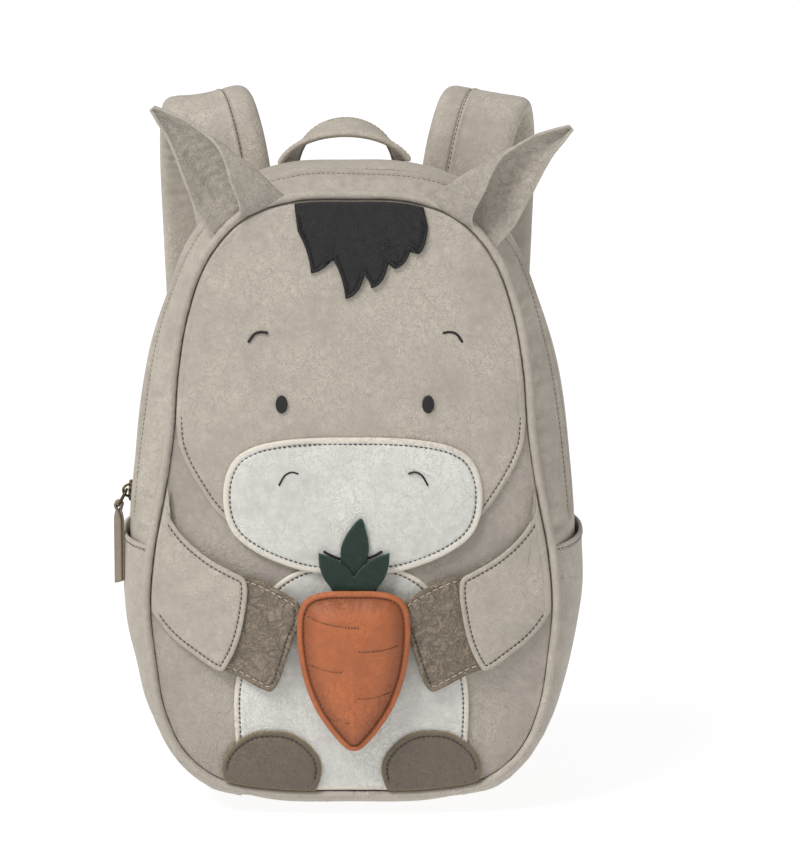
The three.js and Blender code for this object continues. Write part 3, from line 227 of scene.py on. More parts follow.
# Webbing rows from the adjuster to the tab: out, back, up
WEBBING_ROWS = np.array([
    (0.706, 0.535, 0.377), (0.700, 0.480, 0.340), (0.690, 0.370, 0.265),
    (0.675, 0.230, 0.185), (0.660, 0.095, 0.130), (0.655, 0.055, 0.105),
])

# Side pockets
POCKET_TOP = 139.0
POCKET_FOOT = 24.0
POCKET_T = 1.6
POCKET_EASE = 1.6

# Zip slider, its wire loop and its pull
SLIDER_Z = 160.0
SLIDER_L = 11.0
SLIDER_W = 8.0
SLIDER_H = 2.6
WIRE_R = 0.7
BRIDGE_R = 2.4
RING_W = 11.0
RING_H = 9.0
RING_LEAN = 4.0
PULL_L = 40.0
PULL_W = 6.5
PULL_T = 1.4
PULL_HALF_FOLD = 0.74
PULL_TURN = 35.0
COIL_PITCH = 1.3
COIL_W = 3.4
COIL_R = 0.62

# Camera and light: where the camera looks (across, up), how it leans down, and the photo's own height
CAMERA_AIM = (24.5, 201.4)
CAMERA_TILT = 10
CAMERA_AWAY = 2000.0
FOCAL_PIXELS = 4000
PHOTO_PIXELS = 851
SUN = {"elevation": 52, "left": 46, "strength": 2.3, "softness": 24}
WORLD_STRENGTH = 0.5

# Steps from an edge over its rounding, and how far from it a relief has grown to its full height
RIM_STEPS = np.array([0, 0.04, 0.14, 0.32, 0.6, 1.0, 1.5])
RIM_EASE = 1.2
GROOVE_W = 0.55

# How far each seam lies inside its piece's edge, where it isn't the inset of the sidebar's sizes
PANEL_INSET = 3.0
PANEL_ROUND = 0.7
BACK_INSET = 4.0
MUZZLE_INSET = 3.4
CARROT_INSET = 3.4
LOCK_INSET = 2.0
LEAF_INSET = 2.2
HANDLE_INSET = 2.8
TAB_INSET = 3.0
POCKET_HEM = 3.0
STRAP_SEAM = 13.0
STRAP_RIDGE = 3.0
STRAP_STITCH = 1.7


def linear(code):
    """Linear colour of an sRGB hex code."""
    share = np.array([int(code[i:i + 2], 16) for i in (1, 3, 5)]) / 255
    value = np.where(share <= 0.04045, share / 12.92, ((share + 0.055) / 1.055) ** 2.4)
    return (*(float(v) for v in value), 1.0)


def length_property(name, description, default):
    """Scene property that holds a length in metres."""
    return bpy.props.FloatProperty(name=name, description=description, default=default, unit="LENGTH",
                                   precision=5)


def colour_property(name, description, code):
    """Scene property that holds a linear colour, given as an sRGB hex code."""
    return bpy.props.FloatVectorProperty(name=name, description=description, default=linear(code),
                                         size=4, subtype="COLOR", min=0.0, max=1.0)


class BACKPACK_PG_sizes(bpy.types.PropertyGroup):
    """Sizes of the sewing and of the leather's relief"""

    stitch_pitch: length_property("Stitch pitch", "From one stitch to the next", 0.0025)
    stitch_length: length_property("Stitch length", "Thread that shows between two holes", 0.0018)
    thread: length_property("Thread", "Thickness of the sewing thread", 0.0006)
    inset: length_property("Seam inset", "From an edge to its row of stitches", 0.0028)
    groove: length_property("Seam groove", "How deep a seam pulls the leather in", 0.00045)
    pucker: length_property("Pucker", "Height of the gathers along the piping", 0.0004)
    crease: length_property("Crease spacing", "From one fine crease to the next", 0.007)
    grain: length_property("Grain size", "Width of one grain of the leather", 0.0011)


class BACKPACK_PG_colours(bpy.types.PropertyGroup):
    """Colours of the leathers, threads, plastic and metal"""

    body: colour_property("Body", "Front panel", "#A79E93")
    trim: colour_property("Trim", "Sides, head, arms, ears and straps", "#B2A99D")
    muzzle: colour_property("White", "Muzzle and belly", "#D2D1CA")
    rim: colour_property("Painted edge", "Cut edges of the white pieces", "#D8D0C3")
    hoof: colour_property("Hooves", "Hooves and feet", "#7E7263")
    hoof_rim: colour_property("Hoof edge", "Cut edges of hooves and feet", "#7F7150")
    carrot: colour_property("Carrot", "Carrot", "#B1643A")
    leaf: colour_property("Leaves", "Carrot's leaves", "#122A21")
    forelock: colour_property("Forelock", "Hair between the ears", "#151615")
    dark_thread: colour_property("Dark thread", "Topstitching and embroidery", "#4A4036")
    pale_thread: colour_property("Pale thread", "Topstitching of the hooves", "#C4B8A4")
    embroidery: colour_property("Embroidery", "Eyes, brows, nostrils and smile", "#1E1C1B")
    webbing: colour_property("Webbing", "Webbing and zip tape", "#8A8174")
    plastic: colour_property("Plastic", "Strap adjusters", "#6B6358")
    brass: colour_property("Brass", "Zip slider and its loop", "#7B6D4A")
    floor: colour_property("Floor", "Floor under the bag", "#7A7A7A")


def sizes():
    """Sizes of the panel in millimetres."""
    group = bpy.context.scene.backpack_sizes
    return {name: getattr(group, name) / MM for name in BACKPACK_PG_sizes.__annotations__}


def colour(name):
    """Linear colour of the panel by name."""
    return tuple(getattr(bpy.context.scene.backpack_colours, name))


def spline(points, closed, t):
    """Smooth line through points at the places t, 0 to 1 from the first to the last.

    Each stretch is a cubic whose end slopes come from the neighbouring points, weighted by the square
    roots of the distances between them. Points may have any shape after the first axis."""
    p = np.asarray(points, float)
    if closed:
        a, b, c, d = (np.roll(p, k, 0) for k in (1, 0, -1, -2))
    else:
        q = np.concatenate([[2 * p[0] - p[1]], p, [2 * p[-1] - p[-2]]])
        a, b, c, d = q[:-3], q[1:-2], q[2:-1], q[3:]
    gap = [np.sqrt(np.linalg.norm(v - u, axis=-1, keepdims=True)) + 1e-9
           for u, v in ((a, b), (b, c), (c, d))]
    start = ((b - a) / gap[0] - (c - a) / (gap[0] + gap[1]) + (c - b) / gap[1]) * gap[1]
    end = ((c - b) / gap[1] - (d - b) / (gap[1] + gap[2]) + (d - c) / gap[2]) * gap[1]
    place = np.clip(np.asarray(t, float), 0, 1) * len(b)
    k = np.minimum(place.astype(int), len(b) - 1)
    w = (place - k).reshape((-1,) + (1,) * (p.ndim - 1))
    square = -3 * b + 3 * c - 2 * start - end
    cube = 2 * b - 2 * c + start + end
    return b[k] + start[k] * w + square[k] * w ** 2 + cube[k] * w ** 3


def by_length(line, count, closed=False):
    """The line's points spaced evenly along it; a closed line doesn't repeat its first point."""
    path = np.concatenate([line, line[:1]]) if closed else line
    run = np.concatenate([[0], np.cumsum(np.linalg.norm(np.diff(path, axis=0), axis=1))])
    at = np.linspace(0, run[-1], count + 1)[:-1] if closed else np.linspace(0, run[-1], count)
    return np.stack([np.interp(at, run, path[:, k]) for k in range(path.shape[1])], -1)


def unit(v):
    """Vectors at length one."""
    return v / np.maximum(np.linalg.norm(v, axis=-1, keepdims=True), 1e-9)


def smooth(t):
    """Eases from 0 to 1 with flat ends: 3t² - 2t³."""
    t = np.clip(t, 0, 1)
    return t * t * (3 - 2 * t)


def bell(distance, at, width):
    """Ridge of height one at a distance: e to minus the square of how many widths away."""
    return np.exp(-((distance - at) / width) ** 2)


def ripple(points, size, seed, waves=14):
    """Smooth noise, about -1 to 1: sine waves of a given length, each in a fixed random direction."""
    rng = np.random.default_rng(seed)
    ways = unit(rng.normal(size=(waves, points.shape[-1])))
    ways *= rng.uniform(0.6, 1.5, (waves, 1)) * TAU / size
    phase = rng.uniform(0, TAU, waves)
    return np.sin(points @ ways.T + phase).sum(-1) / np.sqrt(waves * 1.5)


# Front panel's outline, finely: x, flare, z, with the length along it
RIGHT_HALF = np.stack([OUTLINE[:, 0] * PANEL_HALF, OUTLINE[:, 2] * FLARE,
                       PANEL_FOOT + OUTLINE[:, 1] * PANEL_H], -1)
BOTH_HALVES = np.concatenate([RIGHT_HALF, RIGHT_HALF[-2:0:-1] * (-1, 1, 1)])
RING_STEPS = 6000
UPPER_START = 1700
RING = spline(BOTH_HALVES, True, np.linspace(0, 1, RING_STEPS + 1))
RUN = np.concatenate([[0], np.cumsum(np.linalg.norm(np.diff(RING, axis=0), axis=1))])
OUTLINE_LENGTH = RUN[-1]
RING_WAY = unit(np.gradient(RING[:, [0, 2]], axis=0))
POLAR = np.arctan2(RING[:, 0], RING[:, 2] - PANEL_MIDDLE_Z)
REACH = np.hypot(RING[:, 0], RING[:, 2] - PANEL_MIDDLE_Z)
BY_ANGLE = np.argsort(POLAR[:-1])
SWELL_LINE = spline(SWELL, False, np.linspace(0, 1, 400))


def outline(share):
    """x, z, outward x, outward z and flare of the outline at shares of its length from the foot."""
    at = np.mod(share, 1) * OUTLINE_LENGTH
    columns = RING[:, 0], RING[:, 2], RING_WAY[:, 1], -RING_WAY[:, 0], RING[:, 1]
    return [np.interp(at, RUN, column) for column in columns]


def share_at_height(height):
    """Share of the outline at which its right side reaches a height."""
    right = slice(RING_STEPS // 2 + 1)
    return np.interp(height, RING[right, 2], RUN[right]) / OUTLINE_LENGTH


def share_at_across(across):
    """Share of the outline at which its upper right part reaches a distance across."""
    upper = slice(UPPER_START, RING_STEPS // 2 + 1)
    return np.interp(-across, -RING[upper, 0], RUN[upper]) / OUTLINE_LENGTH


def side(share, depth, lift=0.0):
    """Side wall: the outline moved out by its flare times the swell at that depth, flat on the ground."""
    share, depth, lift = np.broadcast_arrays(share, depth, lift)
    x, z, out_x, out_z, flare = outline(share)
    swell = np.interp(depth, SWELL_LINE[:, 0], SWELL_LINE[:, 1])
    out = SEAM_OUT + np.maximum(flare - SEAM_OUT, 0) * swell + lift
    return np.stack([x + out_x * out, SIDE_FRONT_Y + depth * SIDE_DEPTH,
                     np.maximum(z + out_z * out, -lift)], -1)


def ring_share(x, z):
    """Share of the way from the panel's middle to its outline."""
    angle = np.arctan2(x, z - PANEL_MIDDLE_Z)
    reach = np.interp(angle, POLAR[BY_ANGLE], REACH[BY_ANGLE], period=TAU)
    return np.hypot(x, z - PANEL_MIDDLE_Z) / reach


def front_y(x, z):
    """Front panel: its seam's plane minus the bulge times one less the ring share to the crown."""
    return FRONT_Y - FRONT_BULGE * (1 - np.clip(ring_share(x, z), 0, 1) ** FRONT_CROWN)


def back_y(x, z):
    """Back panel, the same way with its own bulge and crown, a little past the seam's plane."""
    ring = np.clip(ring_share(x, z) * BACK_REACH, 0, 1)
    return BACK_Y + BACK_BULGE * (1 - ring ** BACK_CROWN)


def arm_low(x, z=None):
    """How far the arms stand off the front panel, growing from the side seams to the carrot."""
    return GAP + HUG_LIFT * np.clip((PANEL_HALF - np.abs(x)) / (PANEL_HALF - HOOF["inner"]), 0, 1)


def on_front(x, z, height):
    """Points in front of the front panel by height."""
    return np.stack([x, front_y(x, z) - height, z], -1)


def wavy(height, size, seed):
    """Layer of smooth noise of a height, over waves of a size."""
    return lambda x, z: height * ripple(np.stack([x, z], -1), size, seed)


def level(height):
    """Layer that keeps one distance from the front panel."""
    return lambda x, z: np.full_like(x, height)


def slope(points, closed=False):
    """Half the step from the row before to the row after, round the join where the rows are closed."""
    if not closed:
        return np.gradient(points, axis=0)
    return np.gradient(np.concatenate([points[-1:], points, points[:1]]), axis=0)[1:-1]


def normals(grid, closed=False):
    """Direction square to a grid of points: the cross product of its two slopes."""
    return unit(np.cross(np.gradient(grid, axis=1), slope(grid, closed)))


def squared_off(round_value, power):
    """Sine or cosine pushed towards -1 and 1, which turns a circle into a rounded square."""
    return np.sign(round_value) * np.abs(round_value) ** power


def new_mesh(name, points, quads, values=None):
    """Object from points in millimetres and quads, with coincident points joined and faces outwards.

    values are named numbers or vectors, one for each point, that its material reads."""
    mesh = bpy.data.meshes.new(name)
    mesh.vertices.add(len(points))
    mesh.vertices.foreach_set("co", (points * MM).astype(np.float32).ravel())
    mesh.loops.add(quads.size)
    mesh.loops.foreach_set("vertex_index", quads.astype(np.int32).ravel())
    mesh.polygons.add(len(quads))
    mesh.polygons.foreach_set("loop_start", np.arange(0, quads.size, quads.shape[1], dtype=np.int32))
    mesh.update(calc_edges=True)
    for key, value in (values or {}).items():
        vector = value.ndim > 1
        layer = mesh.attributes.new(key, "FLOAT_VECTOR" if vector else "FLOAT", "POINT")
        layer.data.foreach_set("vector" if vector else "value", value.astype(np.float32).ravel())
    work = bmesh.new()
    work.from_mesh(mesh)
    bmesh.ops.remove_doubles(work, verts=work.verts, dist=2e-7)
    if work.calc_volume(signed=True) < 0:
        bmesh.ops.reverse_faces(work, faces=work.faces)
    work.to_mesh(mesh)
    work.free()
    mesh.shade_smooth()
    obj = bpy.data.objects.new(name, mesh)
    bpy.context.scene.collection.objects.link(obj)
    return obj


def grid_quads(rows, columns, wrap_rows, wrap_columns):
    """Quads of a grid whose points are numbered row by row."""
    r = np.arange(rows if wrap_rows else rows - 1)[:, None]
    c = np.arange(columns if wrap_columns else columns - 1)[None, :]
    r2, c2 = (r + 1) % rows, (c + 1) % columns
    cell = np.stack(np.broadcast_arrays(r * columns + c, r * columns + c2,
                                        r2 * columns + c2, r2 * columns + c), -1)
    return cell.reshape(-1, 4)


def surface(name, grid, wrap_rows=False, wrap_columns=False, values=None):
    """Object from a grid of points."""
    rows, columns = grid.shape[:2]
    flat = {k: v.reshape(rows * columns, *v.shape[2:]) for k, v in (values or {}).items()}
    return new_mesh(name, grid.reshape(-1, 3), grid_quads(rows, columns, wrap_rows, wrap_columns), flat)


def two_faced(name, face, lining, wrap=False, values=None):
    """Closed sheet from its two faces, which meet along their edges.

    With wrap the rows go round the piece, from a pole in the first column to the rim in the last."""
    grid = np.concatenate([face, lining[:, ::-1]], axis=1)
    doubled = {k: np.concatenate([v, v[:, ::-1]], axis=1) for k, v in (values or {}).items()}
    return surface(name, grid, wrap_rows=wrap, wrap_columns=not wrap, values=doubled)


def finish(obj, material, slot, *nodes):
    """Gives the piece its material, puts it on the bag and lets it stand for its CAD nodes; slot is not used.
    """
    obj.data.materials.append(material)
    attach(obj, "root")
    if nodes:
        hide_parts(*nodes)
    return obj


def edge_distance(x, z, boundary):
    """Distance from each point to a closed outline: the least over its stretches."""
    start, step = boundary, np.roll(boundary, -1, 0) - boundary
    p = np.stack([x.ravel(), z.ravel()], -1)
    best = np.full(len(p), np.inf)
    for a, s in zip(start, step):
        t = np.clip(((p - a) @ s) / max(s @ s, 1e-9), 0, 1)
        best = np.minimum(best, np.linalg.norm(p - a - t[:, None] * s, axis=1))
    return best.reshape(x.shape)


def seam_steps(inset, reach, count):
    """Distances from an edge: close together on the rounded rim and at the seam, then even."""
    seam = [inset + d for d in (-0.9, -0.55, -0.28, 0, 0.28, 0.55, 0.95, 1.6)]
    inner = np.linspace(inset + 2.6, reach, count)
    return np.concatenate([RIM_STEPS, [d for d in seam if d > 1.6], inner])


def rounded(distance, half, radius=None):
    """Half thickness near an edge: a quarter ellipse from nothing to the full half thickness."""
    t = np.clip(distance / (radius or 1.25 * half), 0, 1)
    return half * np.sqrt(1 - (1 - t) ** 2)


def sewn(distance, inset, groove, puff=0.0, reach=8.0):
    """Height that a seam adds: a groove at its inset, and a low crown that rises inside it."""
    dip = groove * bell(distance, inset, GROOVE_W)
    crown = puff * (1 - np.exp(-np.maximum(distance - inset, 0) / reach))
    roll = 0.35 * groove * bell(distance, inset / 2, inset / 3)
    return crown + roll - dip


def fan(boundary, middle, steps, inner):
    """Grid of rays from the middle to a closed outline, x and z.

    Near the outline the columns lie at the given distances inside it, and the rest are even."""
    way = boundary - middle
    length = np.linalg.norm(way, axis=1)
    along = unit(np.roll(boundary, -1, 0) - np.roll(boundary, 1, 0))
    square = np.abs(way[:, 0] * along[:, 1] - way[:, 1] * along[:, 0]) / length
    share = 1 - steps[None, :] / (np.maximum(square, 0.35) * length)[:, None]
    floor = np.linspace(0.62, 0.45, len(steps))
    share = np.maximum(share, floor)[:, ::-1]
    inside = share[:, :1] * np.linspace(0, 1, inner)[None, :-1]
    share = np.concatenate([inside, share], 1)
    grid = middle + way[:, None, :] * share[:, :, None]
    return grid[..., 0], grid[..., 1]


def patch(name, boundary, middle, low, thick, inset, inner=16, puff=0.0, relief=None, sew=True,
          radius=None):
    """Sewn-on piece that follows the front panel: a sheet between low and low plus its thickness.

    Its rim is rounded, its face dips at the seam and rises inside it; relief adds to the face."""
    s = sizes()
    x, z = fan(boundary, np.array(middle), seam_steps(inset, inset + 4.2, 2), inner)
    distance = edge_distance(x, z, boundary)
    half = rounded(distance, thick / 2, radius)
    base = front_y(x, z) - low(x, z) - thick / 2
    inside = smooth(((1 - ring_share(x, z)) * PANEL_H / 2 - 3.8) / 3)
    groove = s["groove"] if sew else 0
    face = half + smooth(distance / RIM_EASE) * inside * sewn(distance, inset, groove, puff)
    if relief is not None:
        face = face + relief(x, z) * smooth(distance / 3)
    top = np.stack([x, base - face, z], -1)
    under = np.stack([x, base + half, z], -1)
    return two_faced(name, top, under, wrap=True, values={"rim": distance})


def mirrored_outline(rows, size, count):
    """Closed outline from the rows of its right half, mirrored and smoothed, with even points."""
    middle = size.get("middle", 0.0)
    right = rows * (size["half"], size["height"]) + (middle, size["foot"])
    inner = rows[:, 0] > 0
    left = right[inner][::-1] * (-1, 1) + (2 * middle, 0)
    return by_length(spline(np.concatenate([right, left]), True, np.linspace(0, 1, 1201)[:-1]),
                     count, closed=True)


def inside_panel(boundary, share=0.997):
    """Outline with the points beyond the front panel's edge brought back to it."""
    ring = np.maximum(ring_share(boundary[:, 0], boundary[:, 1]) / share, 1)[:, None]
    middle = np.array([0, PANEL_MIDDLE_Z])
    return middle + (boundary - middle) / ring


def seam_line(boundary, inset):
    """Outline moved inwards by the inset, without the points that corners push too near an edge."""
    along = unit(np.roll(boundary, -1, 0) - np.roll(boundary, 1, 0))
    inward = np.stack([-along[:, 1], along[:, 0]], -1)
    area = np.cross(boundary, np.roll(boundary, -1, 0)).sum()
    line = boundary + np.sign(area) * inward * inset
    clear = edge_distance(line[:, 0], line[:, 1], boundary) > 0.96 * inset
    return line[clear]


def beads(centres, along, normal, length, radius):
    """Points and quads of small round-ended rods: five rings each, widest in the middle."""
    place = np.array([-0.5, -0.42, 0.0, 0.42, 0.5])
    girth = np.array([0.0, 0.8, 1.0, 0.8, 0.0])
    sink = np.array([0.5, 0.3, 0.0, 0.3, 0.5])
    sides = 6
    turn = np.arange(sides) * TAU / sides
    wide = unit(np.cross(along, normal))
    spine = (centres[:, None] + along[:, None] * (place * length)[None, :, None]
             - normal[:, None] * (sink * radius)[None, :, None])
    around = (wide[:, None, None] * np.cos(turn)[None, None, :, None]
              + normal[:, None, None] * np.sin(turn)[None, None, :, None])
    points = spine[:, :, None] + around * (girth * radius)[None, :, None, None]
    one = grid_quads(len(place), sides, False, True)
    first = np.arange(len(centres)) * len(place) * sides
    quads = (one[None] + first[:, None, None]).reshape(-1, 4)
    return points.reshape(-1, 3), quads


def stitch_row(line, normal, pitch=None, length=None, closed=False):
    """Stitches along a line of points: rods of the thread's thickness at an even pitch."""
    s = sizes()
    pitch = pitch or s["stitch_pitch"]
    length = length or s["stitch_length"]
    both = np.concatenate([line, normal], 1)
    path = np.concatenate([both, both[:1]]) if closed else both
    total = np.linalg.norm(np.diff(path[:, :3], axis=0), axis=1).sum()
    count = max(int(total / pitch), 2)
    even = by_run(path, np.linspace(0, total, 2 * count + 1))
    along = unit(even[2::2, :3] - even[:-2:2, :3])
    middle, up = even[1::2, :3], unit(even[1::2, 3:])
    return beads(middle + up * s["thread"] * 0.2, along, up, length, s["thread"] / 2)


def by_run(path, at):
    """Values of a path at given lengths along its first three columns."""
    run = np.concatenate([[0], np.cumsum(np.linalg.norm(np.diff(path[:, :3], axis=0), axis=1))])
    return np.stack([np.interp(at, run, path[:, k]) for k in range(path.shape[1])], -1)


def join_beads(name, rows, slot, tone="dark"):
    """One object from several rows of stitches, in the thread of that tone."""
    start = np.cumsum([0] + [len(points) for points, _ in rows[:-1]])
    points = np.concatenate([points for points, _ in rows])
    quads = np.concatenate([quads + first for (_, quads), first in zip(rows, start)])
    return finish(new_mesh(name, points, quads), material(tone), slot)


def front_stitches(line, height, keep=None, **options):
    """Rows of stitches that follow the front panel, in the stretches of the line where keep holds."""
    x, z = line[:, 0], line[:, 1]
    spots = on_front(x, z, height(x, z))
    near = 0.5
    slope_x = (front_y(x + near, z) - front_y(x - near, z)) / (2 * near)
    slope_z = (front_y(x, z + near) - front_y(x, z - near)) / (2 * near)
    up = unit(np.stack([slope_x, -np.ones_like(x), slope_z], -1))
    held = np.ones(len(x), bool) if keep is None else keep(x, z)
    step = np.linalg.norm(np.roll(line, -1, 0) - line, axis=1)
    joined = held & np.roll(held, -1) & (step < 3 * np.median(step))
    if joined.all():
        return [stitch_row(spots, up, closed=True, **options)]
    first = int(np.argmin(joined)) + 1
    order = np.roll(np.arange(len(line)), -first)
    joined, spots, up = joined[order], spots[order], up[order]
    edges = np.flatnonzero(np.diff(np.concatenate([[False], joined, [False]]).astype(int)))
    return [stitch_row(spots[a:b + 1], up[a:b + 1], **options)
            for a, b in zip(edges[::2], edges[1::2]) if b - a > 4]


# Materials

# Settings that several nodes share
EASED = {"interpolation_type": "SMOOTHSTEP"}
RGBA = {"data_type": "RGBA"}
EDGES = {"feature": "DISTANCE_TO_EDGE"}
TIMES = {"operation": "MULTIPLY"}
PLUS = {"operation": "MULTIPLY_ADD"}


def add_node(tree, kind, inputs=None, output=0, **settings):
    """Adds a shader node, sets its properties, sets or links its inputs, and gives one of its outputs."""
    node = tree.nodes.new("ShaderNode" + kind)
    for key, value in settings.items():
        setattr(node, key, value)
    for key, value in (inputs or {}).items():
        if isinstance(value, bpy.types.NodeSocket):
            tree.links.new(value, node.inputs[key])
        else:
            node.inputs[key].default_value = value
    return node.outputs[output] if len(node.outputs) else None


def start_material(name):
    """Empty node material, and add_node for its own tree."""
    made = bpy.data.materials.new(name)
    made.use_nodes = True
    made.node_tree.nodes.clear()
    return made, partial(add_node, made.node_tree)


def end_material(made, node, inputs):
    """Ends a material in its shader, with these values and sockets on the shader's own inputs."""
    node("OutputMaterial", {"Surface": node("BsdfPrincipled", inputs)})
    return made


def shade(rgba, factor):
    """Colour made lighter or darker."""
    return (*(min(c * factor, 1.0) for c in rgba[:3]), 1.0)


def scale_for(size):
    """Texture scale for a pattern that repeats every so many millimetres."""
    return 1 / (size * MM)


def from_middle(node, noise):
    """How far a noise lies from its middle value: nothing along winding lines, the crests of folds."""
    apart = node("Math", {0: noise, 1: 0.5}, operation="SUBTRACT")
    return node("Math", {0: apart}, operation="ABSOLUTE")


# Polyurethane-coated leather, embossed with a fine grain and tumbled: matt, with clouds of paler and
# darker tone, and hair-thin pale veins where the coating has creased
def leather(name, tone, crumple=0.0, veins=0.5, edge=None, edge_width=0.6, deep=None, roughness=0.56,
            crumple_size=3.2):
    crease, grain_size = sizes()["crease"], sizes()["grain"]
    made, node = start_material(name)
    spot = node("TexCoord", output="Object")
    cloud = node("TexNoise", {"Vector": spot, "Scale": scale_for(38), "Detail": 4.0, "Roughness": 0.62})
    mottle = node("TexNoise", {"Vector": spot, "Scale": scale_for(5), "Detail": 5.0, "Roughness": 0.7})
    grain = node("TexVoronoi", {"Vector": spot, "Scale": scale_for(grain_size)}, feature="SMOOTH_F1")

    bent = node("TexNoise", {"Vector": spot, "Scale": scale_for(9), "Detail": 3.0}, 1)
    shift = node("VectorMath", {0: bent, 1: (0.5, 0.5, 0.5)}, operation="SUBTRACT")
    shift = node("VectorMath", {0: shift, "Scale": 14 * MM}, operation="SCALE")
    warped = node("VectorMath", {0: spot, 1: shift}, operation="ADD")
    cells = node("TexVoronoi", {"Vector": warped, "Scale": scale_for(crease)}, **EDGES)
    small = node("TexVoronoi", {"Vector": warped, "Scale": scale_for(crease * 0.42)}, **EDGES)
    creased = node("TexNoise", {"Vector": warped, "Scale": scale_for(crease * 0.5), "Detail": 2.5,
                                "Roughness": 0.5, "Distortion": 0.9})

    # Veins lie where the cloud is pale, wrinkles mostly there. The wrinkles are raised and paler: partly the
    # coating's own creasing, partly a painted highlight on their crests
    where = node("MapRange", {0: cloud, 1: 0.47, 2: 0.66}, **EASED)
    vein = node("Math", {0: node("MapRange", {0: cells, 1: 0.045, 2: 0.0}, **EASED), 1: where}, **TIMES)
    thin = node("Math", {0: node("MapRange", {0: small, 1: 0.07, 2: 0.0}, **EASED), 1: where}, **TIMES)
    wrinkle = node("MapRange", {0: from_middle(node, creased), 1: 0.05, 2: 0.0}, **EASED)
    patchy = node("MapRange", {0: cloud, 1: 0.4, 2: 0.62, 3: 0.25, 4: 1.0})
    wrinkle = node("Math", {0: wrinkle, 1: patchy}, **TIMES)

    clouded = node("MapRange", {0: cloud, 1: 0.32, 2: 0.7}, **EASED)
    toned = node("Mix", {0: clouded, 6: shade(tone, 0.8), 7: shade(tone, 1.06)}, 2, **RGBA)
    paler = node("Mix", {0: 0.5, 6: toned, 7: shade(tone, 1.16)}, 2, **RGBA)
    mottled = node("MapRange", {0: mottle, 1: 0.35, 2: 0.75}, **EASED)
    toned = node("Mix", {0: mottled, 6: toned, 7: paler}, 2, **RGBA)
    # Paler veins and wrinkles; on the wrinkles the paler tone is partly painted highlight
    for line, share, pale in ((vein, veins, 1.45), (thin, 0.7 * veins, 1.45), (wrinkle, veins, 1.3)):
        amount = node("Math", {0: line, 1: share}, **TIMES)
        toned = node("Mix", {0: amount, 6: toned, 7: shade(tone, pale)}, 2, **RGBA)

    # Painted shade between two distances from the edge, where a stuffed piece curves away from the light, and
    # edge paint at the cut edge itself
    rim = node("Attribute", output="Fac", attribute_name="rim")
    if deep is not None:
        start, end, factor = deep
        inside = node("MapRange", {0: rim, 1: start - 1, 2: start}, **EASED)
        near = node("MapRange", {0: rim, 1: end, 2: start}, **EASED)
        both = node("Math", {0: near, 1: inside}, **TIMES)
        toned = node("Mix", {0: both, 6: toned, 7: shade(tone, factor)}, 2, **RGBA)
    if edge is not None:
        painted = node("MapRange", {0: rim, 1: edge_width + 0.2, 2: edge_width - 0.1}, **EASED)
        toned = node("Mix", {0: painted, 6: toned, 7: edge}, 2, **RGBA)

    reliefs = [(vein, -0.5), (thin, -0.35), (wrinkle, 0.8), (grain, 0.22), (mottle, 1.1)]
    # With crumple the folds are a bump, and their light is painted too: painted shade over the whole piece
    # and a painted highlight on the crests of the folds
    if crumple:
        folds = node("TexNoise", {"Vector": warped, "Scale": scale_for(crumple_size), "Detail": 2.5,
                                  "Distortion": 1.1})
        ridge = from_middle(node, folds)
        crest_highlight = node("MapRange", {0: ridge, 1: 0.07, 2: 0.0}, **EASED)
        crest_highlight = node("Math", {0: crest_highlight, 1: min(0.5 * crumple, 0.8)}, **TIMES)
        hollow = node("Mix", {0: min(0.3 * crumple, 0.5), 6: toned, 7: shade(tone, 0.7)}, 2, **RGBA)
        toned = node("Mix", {0: crest_highlight, 6: hollow, 7: shade(tone, 1.5)}, 2, **RGBA)
        reliefs.append((ridge, -9 * crumple))
    height = 0.0
    for line, share in reliefs:
        height = node("Math", {0: line, 1: share, 2: height}, **PLUS)
    return end_material(made, node, {
        "Base Color": toned,
        "Roughness": node("MapRange", {0: mottle, 3: roughness - 0.08, 4: roughness + 0.1}),
        "IOR": 1.48,
        "Normal": node("Bump", {"Strength": 0.8, "Distance": 0.36 * MM, "Height": height}),
    })


# Spun polyester sewing thread: matt, with its twist as fine slanting ridges
def thread(name, tone):
    made, node = start_material(name)
    spot = node("TexCoord", output="Object")
    twist = node("TexWave", {"Vector": spot, "Scale": scale_for(0.5) / TAU * 2, "Distortion": 0.6}, 1,
                 bands_direction="DIAGONAL")
    return end_material(made, node, {
        "Base Color": node("Mix", {0: twist, 6: shade(tone, 0.75), 7: shade(tone, 1.2)}, 2, **RGBA),
        "Roughness": 0.72,
        "Normal": node("Bump", {"Strength": 0.5, "Distance": 0.06 * MM, "Height": twist}),
    })


# Woven polyester tape: weft ribs across and warp threads along, read from the lay of the band
def woven(name, tone, rib=1.6, warp=0.9):
    made, node = start_material(name)
    lay = node("Attribute", output="Vector", attribute_name="lay")
    waves = []
    for axis, size in ((0, rib), (1, warp)):
        along = node("SeparateXYZ", {0: lay}, axis)
        turn = node("Math", {0: along, 1: TAU / size}, **TIMES)
        waves.append(node("Math", {0: turn}, operation="SINE"))
    weave = node("Math", {0: waves[0], 1: waves[1]}, **TIMES)
    height = node("Math", {0: weave, 1: 0.5, 2: 0.5}, **PLUS)
    return end_material(made, node, {
        "Base Color": node("Mix", {0: height, 6: shade(tone, 0.68), 7: shade(tone, 1.15)}, 2, **RGBA),
        "Roughness": 0.85,
        "Normal": node("Bump", {"Strength": 0.7, "Distance": 0.25 * MM, "Height": height}),
    })


# Injection-moulded acetal: even colour, satin, with a faint texture from the mould
def acetal(name, tone):
    made, node = start_material(name)
    spot = node("TexCoord", output="Object")
    speck = node("TexNoise", {"Vector": spot, "Scale": scale_for(0.8), "Detail": 2.0})
    return end_material(made, node, {
        "Base Color": node("Mix", {0: speck, 6: shade(tone, 0.92), 7: shade(tone, 1.08)}, 2, **RGBA),
        "Roughness": 0.42,
        "Normal": node("Bump", {"Strength": 0.25, "Distance": 0.05 * MM, "Height": speck}),
    })


